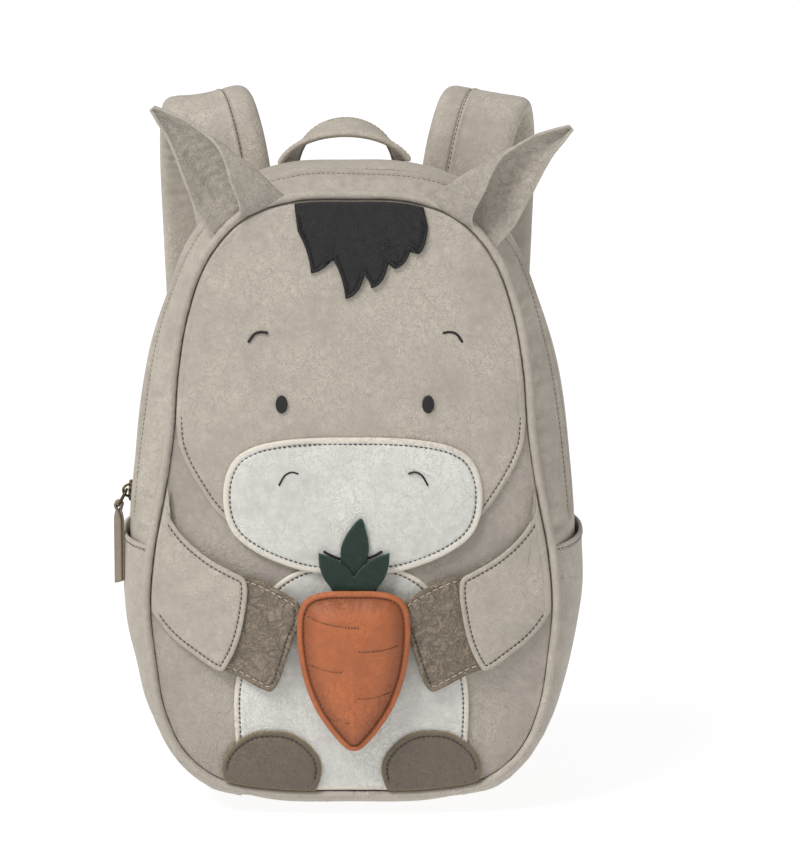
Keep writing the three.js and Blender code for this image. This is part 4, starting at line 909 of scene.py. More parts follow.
# Die-cast zinc plated in antique brass: dark in the hollows, rubbed brighter here and there
def antique_brass(name, tone):
    made, node = start_material(name)
    spot = node("TexCoord", output="Object")
    wear = node("TexNoise", {"Vector": spot, "Scale": scale_for(3.5), "Detail": 5.0})
    rubbed = node("MapRange", {0: wear, 1: 0.42, 2: 0.68}, **EASED)
    return end_material(made, node, {
        "Base Color": node("Mix", {0: rubbed, 6: shade(tone, 0.45), 7: shade(tone, 1.7)}, 2, **RGBA),
        "Metallic": 1.0,
        "Roughness": node("MapRange", {0: wear, 3: 0.5, 4: 0.3}),
    })


# Matt white acrylic of a light table: it shines as brightly as the leather's surroundings
def lit_floor(name, tone):
    made, node = start_material(name)
    spot = node("TexCoord", output="Object")
    cloud = node("TexNoise", {"Vector": spot, "Scale": scale_for(900), "Detail": 1.0})
    return end_material(made, node, {
        "Base Color": node("Mix", {0: cloud, 6: shade(tone, 0.99), 7: tone}, 2, **RGBA),
        "Roughness": 0.9,
        "Specular IOR Level": 0.0,
        "Emission Color": (1, 1, 1, 1),
        "Emission Strength": 0.88,
    })


MATERIALS = {}


def material(key):
    """Each material, made once from the panel's colours."""
    makers = {
        "body": lambda: leather("coated_leather_taupe", colour("body"), veins=0.42),
        "trim": lambda: leather("coated_leather_pale_taupe", colour("trim"), veins=0.4),
        # Ears: the trim leather darkened as painted shade for their hollow, a paler cut edge that is partly a
        # painted highlight on the rolled edge, and the crumple's painted shade and highlight
        "ear": lambda: leather("coated_leather_crumpled", shade(colour("trim"), 0.86), veins=0.3,
                               crumple=0.5, edge=shade(colour("trim"), 1.05), edge_width=0.9),
        "pull": lambda: leather("coated_leather_dark_taupe_pull", shade(colour("hoof"), 1.2), veins=0.3),
        "white": lambda: leather("coated_leather_white", colour("muzzle"), veins=0.25, edge=colour("rim"),
                                 edge_width=2.2, roughness=0.5),
        # Hooves: their crumple paints shade over the leather and a highlight on the crests of its folds
        "hoof": lambda: leather("coated_leather_dark_taupe_crumpled", colour("hoof"), veins=0.15,
                                crumple=1.5, edge=colour("hoof_rim"), crumple_size=5.0),
        "foot": lambda: leather("coated_leather_dark_taupe", shade(colour("hoof"), 0.66), veins=0.5,
                                edge=colour("hoof_rim")),
        # Carrot: painted shade inside its seam, from 3 to 12 mm from the edge, where the stuffed crown curves
        # away from the light
        "carrot": lambda: leather("coated_leather_orange", colour("carrot"), veins=0.25,
                                  deep=(3.0, 12, 0.62)),
        "leaf": lambda: leather("coated_leather_green", colour("leaf"), veins=0.35,
                                edge=shade(colour("leaf"), 2.0)),
        "forelock": lambda: leather("coated_leather_black", colour("forelock"), veins=0.1,
                                    edge=shade(colour("forelock"), 0.6)),
        "dark": lambda: thread("polyester_thread_brown", colour("dark_thread")),
        "pale": lambda: thread("polyester_thread_pale", colour("pale_thread")),
        "embroidery": lambda: thread("polyester_thread_black", colour("embroidery")),
        "webbing": lambda: woven("woven_polyester_webbing", colour("webbing")),
        "tape": lambda: woven("woven_polyester_tape", colour("webbing"), rib=1.0, warp=0.8),
        "plastic": lambda: acetal("acetal_moulded", colour("plastic")),
        "brass": lambda: antique_brass("antique_brass_plating", colour("brass")),
    }
    if key not in MATERIALS:
        MATERIALS[key] = makers[key]()
    return MATERIALS[key]


# Bands: sheets laid along a path

def cluster(width, inner, insets=()):
    """Places across a band, 0 to 1: close at both edges and at each seam, even between."""
    last = RIM_STEPS[-1]
    marks = [RIM_STEPS, width - RIM_STEPS, np.linspace(last, width - last, inner)]
    marks += [inset + np.array([-0.9, -0.5, -0.22, 0, 0.22, 0.5, 0.9]) for inset in insets]
    places = np.unique(np.round(np.concatenate(marks), 3))
    return places[(places >= 0) & (places <= width)] / width


def run_along(grid, axis):
    """Length along each line of a grid."""
    step = np.linalg.norm(np.diff(grid, axis=axis), axis=-1)
    zero = np.zeros_like(np.take(step, [0], axis))
    return np.concatenate([zero, np.cumsum(step, axis)], axis)


def strip(name, grid, thick, turn=1, face_relief=None, back_relief=None):
    """Closed sheet round a middle surface: half the thickness to either side, rounded at its edges.

    turn is 1 or -1 for the side that the face looks to. The reliefs are functions of the lengths
    along and across, of the distance from the edge and of the points, and add to that side."""
    up = normals(grid) * turn
    along, across = run_along(grid, 0), run_along(grid, 1)
    edge = np.minimum(np.minimum(across, across[:, -1:] - across), np.minimum(along, along[-1:] - along))
    half = rounded(edge, np.asarray(thick) / 2)
    ease = smooth(edge / RIM_EASE)
    face, back = half, half
    if face_relief is not None:
        face = half + ease * face_relief(along, across, edge, grid)
    if back_relief is not None:
        back = half + ease * back_relief(along, across, edge, grid)
    lay = np.stack([along, across, np.zeros_like(along)], -1)
    obj = two_faced(name, grid + up * face[..., None], grid - up * back[..., None],
                    values={"rim": edge, "lay": lay})
    return obj, grid + up * face[..., None], up


def line_at(face, up, across, distance):
    """Line of a face at a length across it, interpolated between the columns of its grid."""
    k = np.clip((across < distance[:, None]).sum(1) - 1, 0, across.shape[1] - 2)
    r = np.arange(len(k))
    gap = across[r, k + 1] - across[r, k]
    w = ((distance - across[r, k]) / np.maximum(gap, 1e-6))[:, None]
    return face[r, k] * (1 - w) + face[r, k + 1] * w, unit(up[r, k] * (1 - w) + up[r, k + 1] * w)


def lay_band(path, across, places, width):
    """Middle surface of a band: its path moved across by each place times the width at that point."""
    along = unit(np.gradient(path, axis=0))
    through = unit(np.cross(along, across))
    wide = unit(np.cross(through, along))
    offset = (places[None, :] - 0.5) * np.asarray(width).reshape(-1, 1)
    return path[:, None] + wide[:, None] * offset[..., None]


def tube(name, path, radius, sides=10, closed=False):
    """Round rod along a path; an open one ends in a point under a low dome."""
    along = unit(slope(path, closed))
    plane = unit(np.linalg.svd(path - path.mean(0))[2][2])
    first = unit(np.cross(along, plane))
    second = np.cross(along, first)
    turn = np.arange(sides) * TAU / sides
    girth = np.broadcast_to(np.asarray(radius, float), len(path))[:, None, None]
    grid = path[:, None] + girth * (first[:, None] * np.cos(turn)[None, :, None]
                                    + second[:, None] * np.sin(turn)[None, :, None])
    if not closed:
        grid = np.concatenate([np.repeat(path[:1, None], sides, 1), grid,
                               np.repeat(path[-1:, None], sides, 1)])
    return surface(name, grid, wrap_rows=closed, wrap_columns=True)


def panel_boundary(count, spread=0.0):
    """Outline of the panels with even points, moved outwards by spread."""
    x, z, out_x, out_z, _ = outline(np.arange(count) / count)
    return np.stack([x + out_x * spread, z + out_z * spread], -1)


def build_front_panel():
    """Front panel, domed to the front and a little slack."""
    slack = wavy(0.5, 60, 3)
    front = patch("leather_front", panel_boundary(300, GAP), (0, PANEL_MIDDLE_Z), level(-WALL), WALL,
                  PANEL_INSET, inner=19, relief=slack, sew=False, radius=PANEL_ROUND)
    finish(front, material("body"), "body_leather", "front_panel")


def build_back_panel():
    """Back panel, domed to the back by its own bulge and stitched along its edge."""
    slack = wavy(0.5, 60, 3)
    boundary = panel_boundary(300, SEAM_OUT)
    x, z = fan(boundary, np.array((0, PANEL_MIDDLE_Z)), seam_steps(BACK_INSET, BACK_INSET + 5, 3), 11)
    distance = edge_distance(x, z, boundary)
    half = rounded(distance, WALL / 2)
    base = back_y(x, z) - WALL / 2
    face = half + smooth(distance / RIM_EASE) * (sewn(distance, BACK_INSET, 0.5, 0.8) + 0.3 * slack(x, z))
    grids = [np.stack([x, base + lift, z], -1) for lift in (face, -half)]
    back = two_faced("leather_back", *grids, wrap=True, values={"rim": distance})
    finish(back, material("trim"), "trim_leather", "back_panel")
    seam = seam_line(boundary, BACK_INSET)
    spots = np.stack([seam[:, 0], back_y(seam[:, 0], seam[:, 1]) - 0.35, seam[:, 1]], -1)
    rows = [stitch_row(spots, np.tile((0.0, 1.0, 0.0), (len(spots), 1)), closed=True)]
    join_beads("stitches_back", rows, "trim_leather")


def build_piping():
    """Corded piping: a round cord along the outline, a little uneven, pinched where its ends meet."""
    join = PIPING_JOIN / OUTLINE_LENGTH
    beside_join = join + np.linspace(-0.9, 0.9, 12) / OUTLINE_LENGTH
    share = np.sort(np.concatenate([np.arange(520) / 520, beside_join]))
    px, pz, out_x, out_z, _ = outline(share)
    turn = np.arange(16) * TAU / 16
    spine = np.stack([px, pz], -1)
    wobble = ripple(spine, 9, 5)[:, None] * 0.045 + ripple(spine, 40, 6)[:, None] * 0.03
    cut = 0.16 * np.exp(-((share - join) * OUTLINE_LENGTH / 0.3) ** 2)[:, None]
    radius = PIPING_R * (1 - cut + wobble * (0.4 + 0.6 * np.cos(turn)[None] ** 2))
    out = GAP + PIPING_R + radius * np.cos(turn)
    grid = np.stack([px[:, None] + out_x[:, None] * out, FRONT_Y + radius * np.sin(turn),
                     pz[:, None] + out_z[:, None] * out], -1)
    cord = surface("piping_cord", grid, wrap_rows=True, wrap_columns=True)
    finish(cord, material("trim"), "trim_leather", "piping_front")


def side_strip(name, start, end, count, low, high, lift=0.0, thick=WALL):
    """Part of the side wall between two shares of the outline and two depths."""
    width = (high - low) * SIDE_DEPTH
    depth = low + (high - low) * cluster(width, max(int(width / 2.4), 4))
    share = start + (end - start) * cluster((end - start) * OUTLINE_LENGTH, count)
    grid_share, grid_depth = np.meshgrid(share, depth, indexing="ij")
    return strip(name, side(grid_share, grid_depth, lift - thick / 2), thick)


def slotted(name, face, lining, kept, values):
    """Closed wall from two closed rings of points, without the cells where kept is False.

    Each kept cell gives a quad of either side, and a quad between the sides where its neighbour
    is missing."""
    rows, columns = face.shape[:2]
    r = np.arange(rows)[:, None]
    c = np.arange(columns - 1)[None, :]
    below = (r + 1) % rows
    a, b, d = r * columns + c, r * columns + c + 1, below * columns + c
    corners = [np.broadcast_to(k, kept.shape)[kept] for k in (a, b, d + 1, d)]
    other = rows * columns
    quads = [np.stack(corners, -1), np.stack([k + other for k in corners[::-1]], -1)]
    none = np.zeros((rows, 1), bool)
    beside = [np.roll(kept, 1, 0), np.concatenate([kept[:, 1:], none], 1),
              np.roll(kept, -1, 0), np.concatenate([none, kept[:, :-1]], 1)]
    for k, near in enumerate(beside):
        bare = ~near[kept]
        p, q = corners[k][bare], corners[(k + 1) % 4][bare]
        quads.append(np.stack([q, p, p + other, q + other], -1))
    points = np.concatenate([face.reshape(-1, 3), lining.reshape(-1, 3)])
    doubled = {key: np.concatenate([v.ravel(), v.ravel()]) for key, v in values.items()}
    return new_mesh(name, points, np.concatenate(quads), doubled)


def build_sides():
    """Side wall with a slot for the zip, gathered a little along the piping and topstitched."""
    s = sizes()
    start = share_at_height(ZIP_END_Z)
    front_edge, back_edge = SLOT_FRONT, SLOT_FRONT + ZIP_W
    front_seam, back_seam = front_edge - 2.8, back_edge + 3.2
    rim = np.append(RIM_STEPS, 2.1)
    seam = np.array([-0.8, -0.4, -0.18, 0, 0.18, 0.4, 0.8])
    depth = np.unique(np.round(np.concatenate([
        rim, SIDE_DEPTH - rim, front_edge - rim, back_edge + rim, front_seam + seam, back_seam + seam,
        np.linspace(2, SIDE_DEPTH - 2, 27)]), 3))
    ends = np.array([start, 1 - start]) * OUTLINE_LENGTH
    run = np.unique(np.round(np.concatenate([
        np.linspace(0, OUTLINE_LENGTH, 410)[:-1], ends[0] - rim, ends[1] + rim, ends]), 3))
    run, depth = np.meshgrid(run, depth, indexing="ij")
    along_gap = np.maximum(np.maximum(ends[0] - run, run - ends[1]), 0)
    across_gap = np.maximum(np.maximum(front_edge - depth, depth - back_edge), 0)
    edge = np.minimum(np.minimum(depth, SIDE_DEPTH - depth), np.hypot(along_gap, across_gap))
    grid = side(run / OUTLINE_LENGTH, depth / SIDE_DEPTH, -WALL / 2)
    up = normals(grid, closed=True)
    half = rounded(edge, WALL / 2)

    pull = np.stack([run / 5.0, depth / 24], -1)
    gathers = 2.4 * s["pucker"] * ripple(pull, 1.0, 11) * bell(depth, 5.5, 5.5)
    slack = 0.4 * ripple(grid, 48, 8)
    beside_zip = 1 - smooth(along_gap / 6)
    near, far = front_edge - depth, depth - back_edge
    front_lip = 2.0 * bell(near, 1.1, 1.1) - 1.2 * s["groove"] * bell(depth, front_seam, 0.45)
    back_lip = 0.3 * bell(far, 1.2, 1.1) - s["groove"] * bell(depth, back_seam, 0.5)
    lips = beside_zip * (front_lip + back_lip)
    off_ground = smooth((grid[..., 2] - 2) / 8)
    height = half + smooth(edge / RIM_EASE) * off_ground * (gathers + slack + lips)
    cell_run = 0.5 * (run + np.concatenate([run[1:], run[:1] + OUTLINE_LENGTH]))[:, :-1]
    cell_depth = 0.5 * (depth[:, 1:] + depth[:, :-1])
    kept = ~((cell_run > ends[0]) & (cell_run < ends[1])
             & (cell_depth > front_edge) & (cell_depth < back_edge))
    face = grid + up * height[..., None]
    wall = slotted("leather_side_wall", face, grid - up * half[..., None], kept, {"rim": edge})
    finish(wall, material("trim"), "trim_leather", "gusset_front", "gusset_back", "gusset_base")

    beside = (run[:, 0] > ends[0]) & (run[:, 0] < ends[1])
    rows = []
    for at in (front_seam, back_seam):
        k = int(np.argmin(np.abs(depth[0] - at)))
        rows.append(stitch_row(face[beside, k], up[beside, k]))
    join_beads("stitches_sides", rows, "trim_leather")


def build_zip():
    """Zip's tape, sunk in the side wall's slot, and the coil along its middle."""
    start = share_at_height(ZIP_END_Z)
    front_edge, back_edge = SLOT_FRONT, SLOT_FRONT + ZIP_W
    end_gap = GAP / OUTLINE_LENGTH
    tape, face, up = side_strip("zip_woven_tape", start + end_gap, 1 - start - end_gap, 260,
                                front_edge / SIDE_DEPTH, back_edge / SIDE_DEPTH,
                                lift=-ZIP_SINK, thick=WALL - ZIP_SINK)
    finish(tape, material("tape"), "zip_tape", "zip_tape")
    coil = zip_coil(face, up)
    finish(coil, material("webbing"), "zip_tape")


def zip_coil(face, up):
    """Closed nylon coil: short rods across the tape, alternately from either side."""
    across = run_along(face, 1)
    middle, normal = line_at(face, up, across, across[:, -1] / 2)
    path = np.concatenate([middle, normal], 1)
    total = np.linalg.norm(np.diff(middle, axis=0), axis=1).sum()
    at = np.arange(2.0, total - 2.0, COIL_PITCH)
    spots, near = by_run(path, at), by_run(path, at + 0.4)
    forward = unit(near[:, :3] - spots[:, :3])
    out = unit(spots[:, 3:])
    wide = unit(np.cross(forward, out))
    step = np.where(np.arange(len(at)) % 2, 0.7, -0.7)[:, None]
    points, quads = beads(spots[:, :3] + wide * step + out * 0.5, wide, out, COIL_W, COIL_R)
    return new_mesh("zip_coil_teeth", points, quads)


def build_pockets():
    """Side pockets sewn into the piping's seam, their upper edge turned in, eased and topstitched."""
    s = sizes()
    start, end = share_at_height(POCKET_FOOT - 8), share_at_height(POCKET_TOP)
    span = (end - start) * OUTLINE_LENGTH
    depth = 0.004 + 0.992 * cluster(SIDE_DEPTH, 42)
    rise = cluster(span, 48, (span - POCKET_HEM,))
    rise, depth = np.meshgrid(rise, depth, indexing="ij")
    to_seam = SIDE_DEPTH * np.minimum(depth, 1 - depth)
    for word, turn in (("left", -1), ("right", 1)):
        full = 2 * GAP + POCKET_T
        lift = 0.5 + (full - 0.5) * smooth(to_seam / 7) * smooth(rise * span / 14)
        lift = lift + POCKET_EASE * rise ** 4 * np.sin(np.pi * depth)
        grid = side(start + (end - start) * rise, depth, lift - POCKET_T / 2)
        grid[..., 0] *= turn

        def relief(along, across, edge, points):
            near = along[-1:] - along
            roll = 0.45 * bell(near, 1.3, 1.1)
            dip = s["groove"] * bell(near, POCKET_HEM, 0.5)
            gathers = 0.5 * ripple(np.stack([along / 9, across / 40], -1), 1.0, 19 + turn)
            slack = 0.45 * ripple(points, 42, 17 + turn)
            return roll - dip + slack + gathers * bell(to_seam, 0, 9)

        obj, face, up = strip(f"leather_pocket_{word}", grid, POCKET_T, turn=turn, face_relief=relief)
        finish(obj, material("trim"), "trim_leather", f"side_pocket_{word}")
        along = run_along(face, 0)
        line, way = line_at(face.transpose(1, 0, 2), up.transpose(1, 0, 2), along.T,
                            along[-1] - POCKET_HEM)
        join_beads(f"stitches_pocket_{word}", [stitch_row(line, way, pitch=2.1, length=1.4)],
                   "trim_leather")


def ribbon_on_front(name, line, width, height):
    """Satin-stitched ribbon: a low round bead of thread along a line, ribbed across by its stitches."""
    line = by_length(line, 90)
    way = unit(np.gradient(line, axis=0))
    places = np.linspace(-1, 1, 11)
    run = run_along(line[:, None], 0)
    taper = np.sqrt(np.clip(1 - (1 - np.clip(np.minimum(run, run[-1] - run) / (width / 2), 0, 1)) ** 2, 0, 1))
    ribs = 1 + 0.12 * np.sin(run * TAU / 0.55)
    ragged = 1 + 0.05 * np.sin(run * TAU / 0.9 + 1)
    across = places[None, :] * taper * ragged * width / 2
    x = line[:, :1] - way[:, 1:] * across
    z = line[:, 1:] + way[:, :1] * across
    crown = THREAD_T * np.sqrt(np.clip(1 - places ** 2, 0, 1))[None, :] * taper * ribs
    base = front_y(x, z) - height
    return two_faced(name, np.stack([x, base - crown, z], -1), np.stack([x, base, z], -1))


def arched_line(size, turn):
    """Arched stroke through four points that dips at its outer end."""
    points = np.array([(1, -size["dip"]), (0.35, -size["kick"]), (-0.3, 0), (-1, -size["kick"] / 2)])
    line = (points * (size["half"], 1) + (size["across"], size["up"])) * (turn, 1) + (size["middle"], 0)
    return spline(line, False, np.linspace(0, 1, 60))


def forelock_outline():
    """Edge of the forelock: two curves to each lock, down to its tip and up to the next notch."""
    place = lambda across, drop: np.array([FORELOCK["left"] + across * FORELOCK["width"],
                                           FORELOCK["top"] - drop * FORELOCK["drop"]])
    t = np.linspace(0, 1, 14)[1:, None]
    bend = lambda a, b, c: a * (1 - t) ** 2 + b * 2 * t * (1 - t) + c * t ** 2
    start = place(0.04, 0.4)
    pieces = [place(0, 0)[None], start[None]]
    for tip_across, tip_drop, notch_across, notch_drop in LOCKS:
        tip, notch = place(tip_across, tip_drop), place(notch_across, notch_drop)
        out = np.array([tip[0] - 0.1 * (tip[0] - start[0]), (start[1] + tip[1]) / 2])
        back = tip + (notch - tip) * (0.8, 0.12)
        pieces += [bend(start, out, tip), bend(tip, back, notch)]
        start = notch
    pieces.append(place(0.93, 0)[None])
    return inside_panel(by_length(np.concatenate(pieces), 420, closed=True))


def build_head():
    """Head panel: the outline above the cheeks, closed by the line of the chin."""
    chin = CHIN_LINE * (CHIN["half"], CHIN["rise"]) + (0, CHIN["foot"])
    chin = np.concatenate([chin, [(0, CHIN["foot"])], chin[::-1] * (-1, 1)])
    lower = spline(chin, False, np.linspace(0, 1, 400))
    meet = share_at_height(CHIN["foot"] + CHIN["rise"])
    x, z, *_ = outline(np.linspace(1 - meet, meet, 400))
    boundary = by_length(np.concatenate([lower, np.stack([x, z], -1) * 0.999]), 380, closed=True)
    boundary = inside_panel(boundary)
    slack = wavy(0.5, 55, 21)
    inset = sizes()["inset"]
    head = patch("leather_head", boundary, (0, 225), level(GAP), OVERLAY_T, inset, inner=24, relief=slack)
    finish(head, material("trim"), "trim_leather", "head_panel")
    height = lambda x, z: OVERLAY_TOP - 0.35 + slack(x, z)
    chin_only = lambda x, z: (z < CHIN["foot"] + CHIN["rise"] - 6) & (np.abs(x) > 50)
    rows = front_stitches(seam_line(boundary, inset), height, chin_only)
    join_beads("stitches_head", rows, "trim_leather")


def build_forelock():
    """Forelock cut in locks, topstitched below the seam at its top."""
    hair = forelock_outline()
    lock = patch("leather_forelock", hair, (4, 296), level(SECOND_LOW), APPLIQUE_T, LOCK_INSET,
                 inner=10, puff=0.2, relief=wavy(0.15, 10, 22))
    finish(lock, material("forelock"), "forelock_leather", "forelock")
    below = lambda x, z: z < 308
    rows = front_stitches(seam_line(hair, LOCK_INSET), level(MUZZLE_TOP - 0.2), below, pitch=2.2, length=1.5)
    join_beads("stitches_forelock", rows, "forelock_leather", "embroidery")


def build_eyes():
    """Oval eyes and arched brows in satin stitch."""
    on_head = OVERLAY_TOP + GAP / 2
    turn = np.linspace(0, TAU, 61)[:-1]
    for word, way in (("left", -1), ("right", 1)):
        ring = np.stack([EYE["middle"] + way * EYE["across"] + EYE["half_w"] * np.cos(turn),
                         EYE["up"] + EYE["half_h"] * np.sin(turn)], -1)
        satin = lambda x, z: 0.07 * np.sin(z * TAU / 0.6)
        eye = patch(f"satin_eye_{word}", ring, ring.mean(0), level(on_head), THREAD_T * 1.6, 2.0, inner=10,
                    puff=0.25, relief=satin, sew=False)
        finish(eye, material("embroidery"), "embroidery", f"eye_{word}")
        brow = ribbon_on_front(f"satin_brow_{word}", arched_line(BROW, way), BROW["width"], on_head)
        finish(brow, material("embroidery"), "embroidery", f"brow_{word}")


def build_muzzle():
    """White muzzle with its nostrils and smile."""
    inset = MUZZLE_INSET
    boundary = mirrored_outline(MUZZLE_LINE, MUZZLE, 320)
    slack = wavy(0.22, 30, 31)
    muzzle = patch("leather_muzzle", boundary, (1, 164), level(SECOND_LOW), APPLIQUE_T, inset, inner=17,
                   puff=0.5, relief=slack)
    finish(muzzle, material("white"), "white_leather", "muzzle")
    rows = front_stitches(seam_line(boundary, inset), level(MUZZLE_TOP - 0.3))
    join_beads("stitches_muzzle", rows, "white_leather")
    on_muzzle = MUZZLE_TOP + 0.5
    for word, way in (("left", -1), ("right", 1)):
        nostril = ribbon_on_front(f"satin_nostril_{word}", arched_line(NOSTRIL, way), NOSTRIL["width"],
                                  on_muzzle)
        finish(nostril, material("embroidery"), "embroidery", f"nostril_{word}")
    across = np.linspace(-1, 1, 60)
    line = np.stack([SMILE["middle"] + across * SMILE["half"],
                     SMILE["up"] - SMILE["dip"] * (1 - across ** 2)], -1)
    smile = ribbon_on_front("satin_smile", line, SMILE["width"], on_muzzle)
    finish(smile, material("embroidery"), "embroidery", "smile")


def build_belly():
    """White belly patch and the two feet below it."""
    inset = sizes()["inset"]
    boundary = inside_panel(mirrored_outline(BELLY_LINE, BELLY, 360))
    slack = wavy(0.25, 34, 41)
    belly = patch("leather_belly", boundary, (0, 66), level(GAP), OVERLAY_T, inset, inner=16, relief=slack)
    finish(belly, material("white"), "white_leather", "belly_patch")
    above = lambda x, z: (z > 24) & (ring_share(x, z) < 0.95) & (z < 131)
    rows = front_stitches(seam_line(boundary, inset), level(OVERLAY_TOP - 0.2), above)
    join_beads("stitches_belly", rows, "white_leather")
    for word, way in (("left", -1), ("right", 1)):
        size = {**FOOT, "middle": way * FOOT_MIDDLE}
        boundary = inside_panel(mirrored_outline(FOOT_LINE, size, 160))
        foot = patch(f"leather_foot_{word}", boundary, (way * FOOT_MIDDLE, 30), level(SECOND_LOW),
                     APPLIQUE_T, inset, inner=16, puff=0.7,
                     relief=wavy(0.12, 14, 43 + way))
        finish(foot, material("foot"), "hoof_leather", f"foot_{word}")
        rows = front_stitches(seam_line(boundary, inset), level(MUZZLE_TOP - 0.25),
                              lambda x, z: ring_share(x, z) < 0.955)
        join_beads(f"stitches_foot_{word}", rows, "hoof_leather")


def build_arms():
    """Arms from the side seams to the carrot, with the hooves under their inner ends."""
    inset = sizes()["inset"]
    smooth_outline = lambda rows, count: by_length(
        spline(rows, True, np.linspace(0, 1, 1401)[:-1]), count, closed=True)
    hoof_rows = HOOF_LINE * (HOOF["reach"], HOOF["height"]) + (HOOF["inner"], HOOF["foot"])
    for word, way in (("left", -1), ("right", 1)):
        inner = ARM_INNER[word]
        arm = ARM_LINE * (PANEL_HALF - inner, ARM["height"]) + (inner, ARM["foot"])
        arm = inside_panel(smooth_outline(arm, 290) * (way, 1))
        hoof = smooth_outline(hoof_rows, 280) * (way, 1)
        bend = wavy(0.3, 30, 50 + way)
        obj = patch(f"leather_arm_{word}", arm, (way * 88, 126), arm_low, APPLIQUE_T, inset, inner=16,
                    puff=0.5, relief=bend)
        finish(obj, material("trim"), "trim_leather", f"arm_{word}")
        height = lambda x, z: arm_low(x) + APPLIQUE_T - 0.25 + bend(x, z)
        rows = front_stitches(seam_line(arm, inset), height, lambda x, z: ring_share(x, z) < 0.962)
        join_beads(f"stitches_arm_{word}", rows, "trim_leather")

        hoof_low = lambda x, z: arm_low(x) - APPLIQUE_T - GAP
        crumple = lambda x, z: 0.3 * ripple(np.stack([x * 0.7, z], -1), 9, 54 + way)
        obj = patch(f"leather_hoof_{word}", hoof, (way * 46, 98), hoof_low, APPLIQUE_T, inset, inner=18,
                    relief=crumple)
        finish(obj, material("hoof"), "hoof_leather", f"hoof_{word}")
        height = lambda x, z: arm_low(x) - GAP - 0.2 + crumple(x, z)
        seam = seam_line(hoof, inset)
        inner_end = lambda x, z: (z < 112) & (z > 72) \
            & (np.abs(x) < HOOF["inner"] + 5.5 + np.maximum(0, 103 - z) * 0.32)
        outer = lambda x, z: ~inner_end(x, z) & (np.abs(x) < 64)
        dark = front_stitches(seam, height, inner_end)
        pale = front_stitches(seam, height, outer, pitch=3.6, length=2.7)
        join_beads(f"stitches_hoof_end_{word}", dark, "hoof_leather")
        join_beads(f"stitches_hoof_{word}", pale, "hoof_leather", "pale")


def sagging(t, start, end, sag):
    """Height along a line that hangs in a parabola between its ends."""
    return start + (end - start) * t - sag * 4 * t * (1 - t)


def build_carrot():
    """Stuffed carrot: a crown that rises inside its sewn rim, gathers at the seam and dotted seams."""
    boundary = mirrored_outline(CARROT_LINE, CARROT, 300)
    middle = np.array([CARROT["middle"], CARROT["foot"] + 0.6 * CARROT["height"]])
    inset = CARROT_INSET
    x, z = fan(boundary, middle, seam_steps(inset, inset + 4.5, 3), 23)
    distance = edge_distance(x, z, boundary)
    half = rounded(distance, CARROT_RIM_T / 2)
    base = front_y(x, z) - CARROT_SEAT - CARROT_RIM_T / 2
    share = np.hypot(x - middle[0], z - middle[1])
    share = share / share[:, -1:]
    rise = np.clip(distance - inset, 0, None)
    crown = CARROT_PUFF * (1 - np.exp(-rise / 7.0)) * (1 - 0.18 * share ** 2) / 0.96
    angle = np.arctan2(x - middle[0], z - middle[1])
    around = np.stack([np.cos(angle) * 9, np.sin(angle) * 9], -1)
    gather = 0.35 * ripple(around, 1.6, 61) * bell(rise, 2.2, 2.4)
    slack = 0.3 * ripple(np.stack([x, z], -1), 16, 62) * smooth(rise / 8)
    roll = 0.5 * bell(distance, 2.0, 1.3) - 0.5 * bell(distance, inset, 0.5)
    dots = np.zeros_like(x)
    for x0, z0, x1, z1, sag in CARROT_SEAMS:
        t = np.clip((x - x0) / (x1 - x0), 0, 1)
        line = sagging(t, z0, z1, sag)
        inside = smooth((x - x0) / 1.5 + 1) * smooth((x1 - x) / 1.5 + 1)
        dots -= 0.5 * bell(z, line, 0.8) * inside
    lift = crown + gather + slack + dots * smooth(rise / 3)
    face = half + smooth(distance / 1.0) * roll + np.where(distance > inset, lift, 0)
    grids = [np.stack([x, base - up, z], -1) for up in (face, -half)]
    body = two_faced("leather_carrot", *grids, wrap=True, values={"rim": distance})
    finish(body, material("carrot"), "carrot_leather", "carrot")

    face_at = lambda px, pz: CARROT_SEAT + CARROT_RIM_T / 2 + nearest(px, pz, x, z, face)
    rows = front_stitches(seam_line(boundary, inset), level(CARROT_SEAT + CARROT_RIM_T - 0.35),
                          pitch=2.4, length=1.6)
    for x0, z0, x1, z1, sag in CARROT_SEAMS:
        t = np.linspace(0, 1, 40)
        line = np.stack([x0 + (x1 - x0) * t, sagging(t, z0, z1, sag)], -1)
        keep = lambda px, pz: (np.arange(len(px)) > 0) & (np.arange(len(px)) < len(px) - 1)
        rows += front_stitches(line, face_at, keep, pitch=1.5, length=0.9)
    join_beads("stitches_carrot", rows, "carrot_leather")


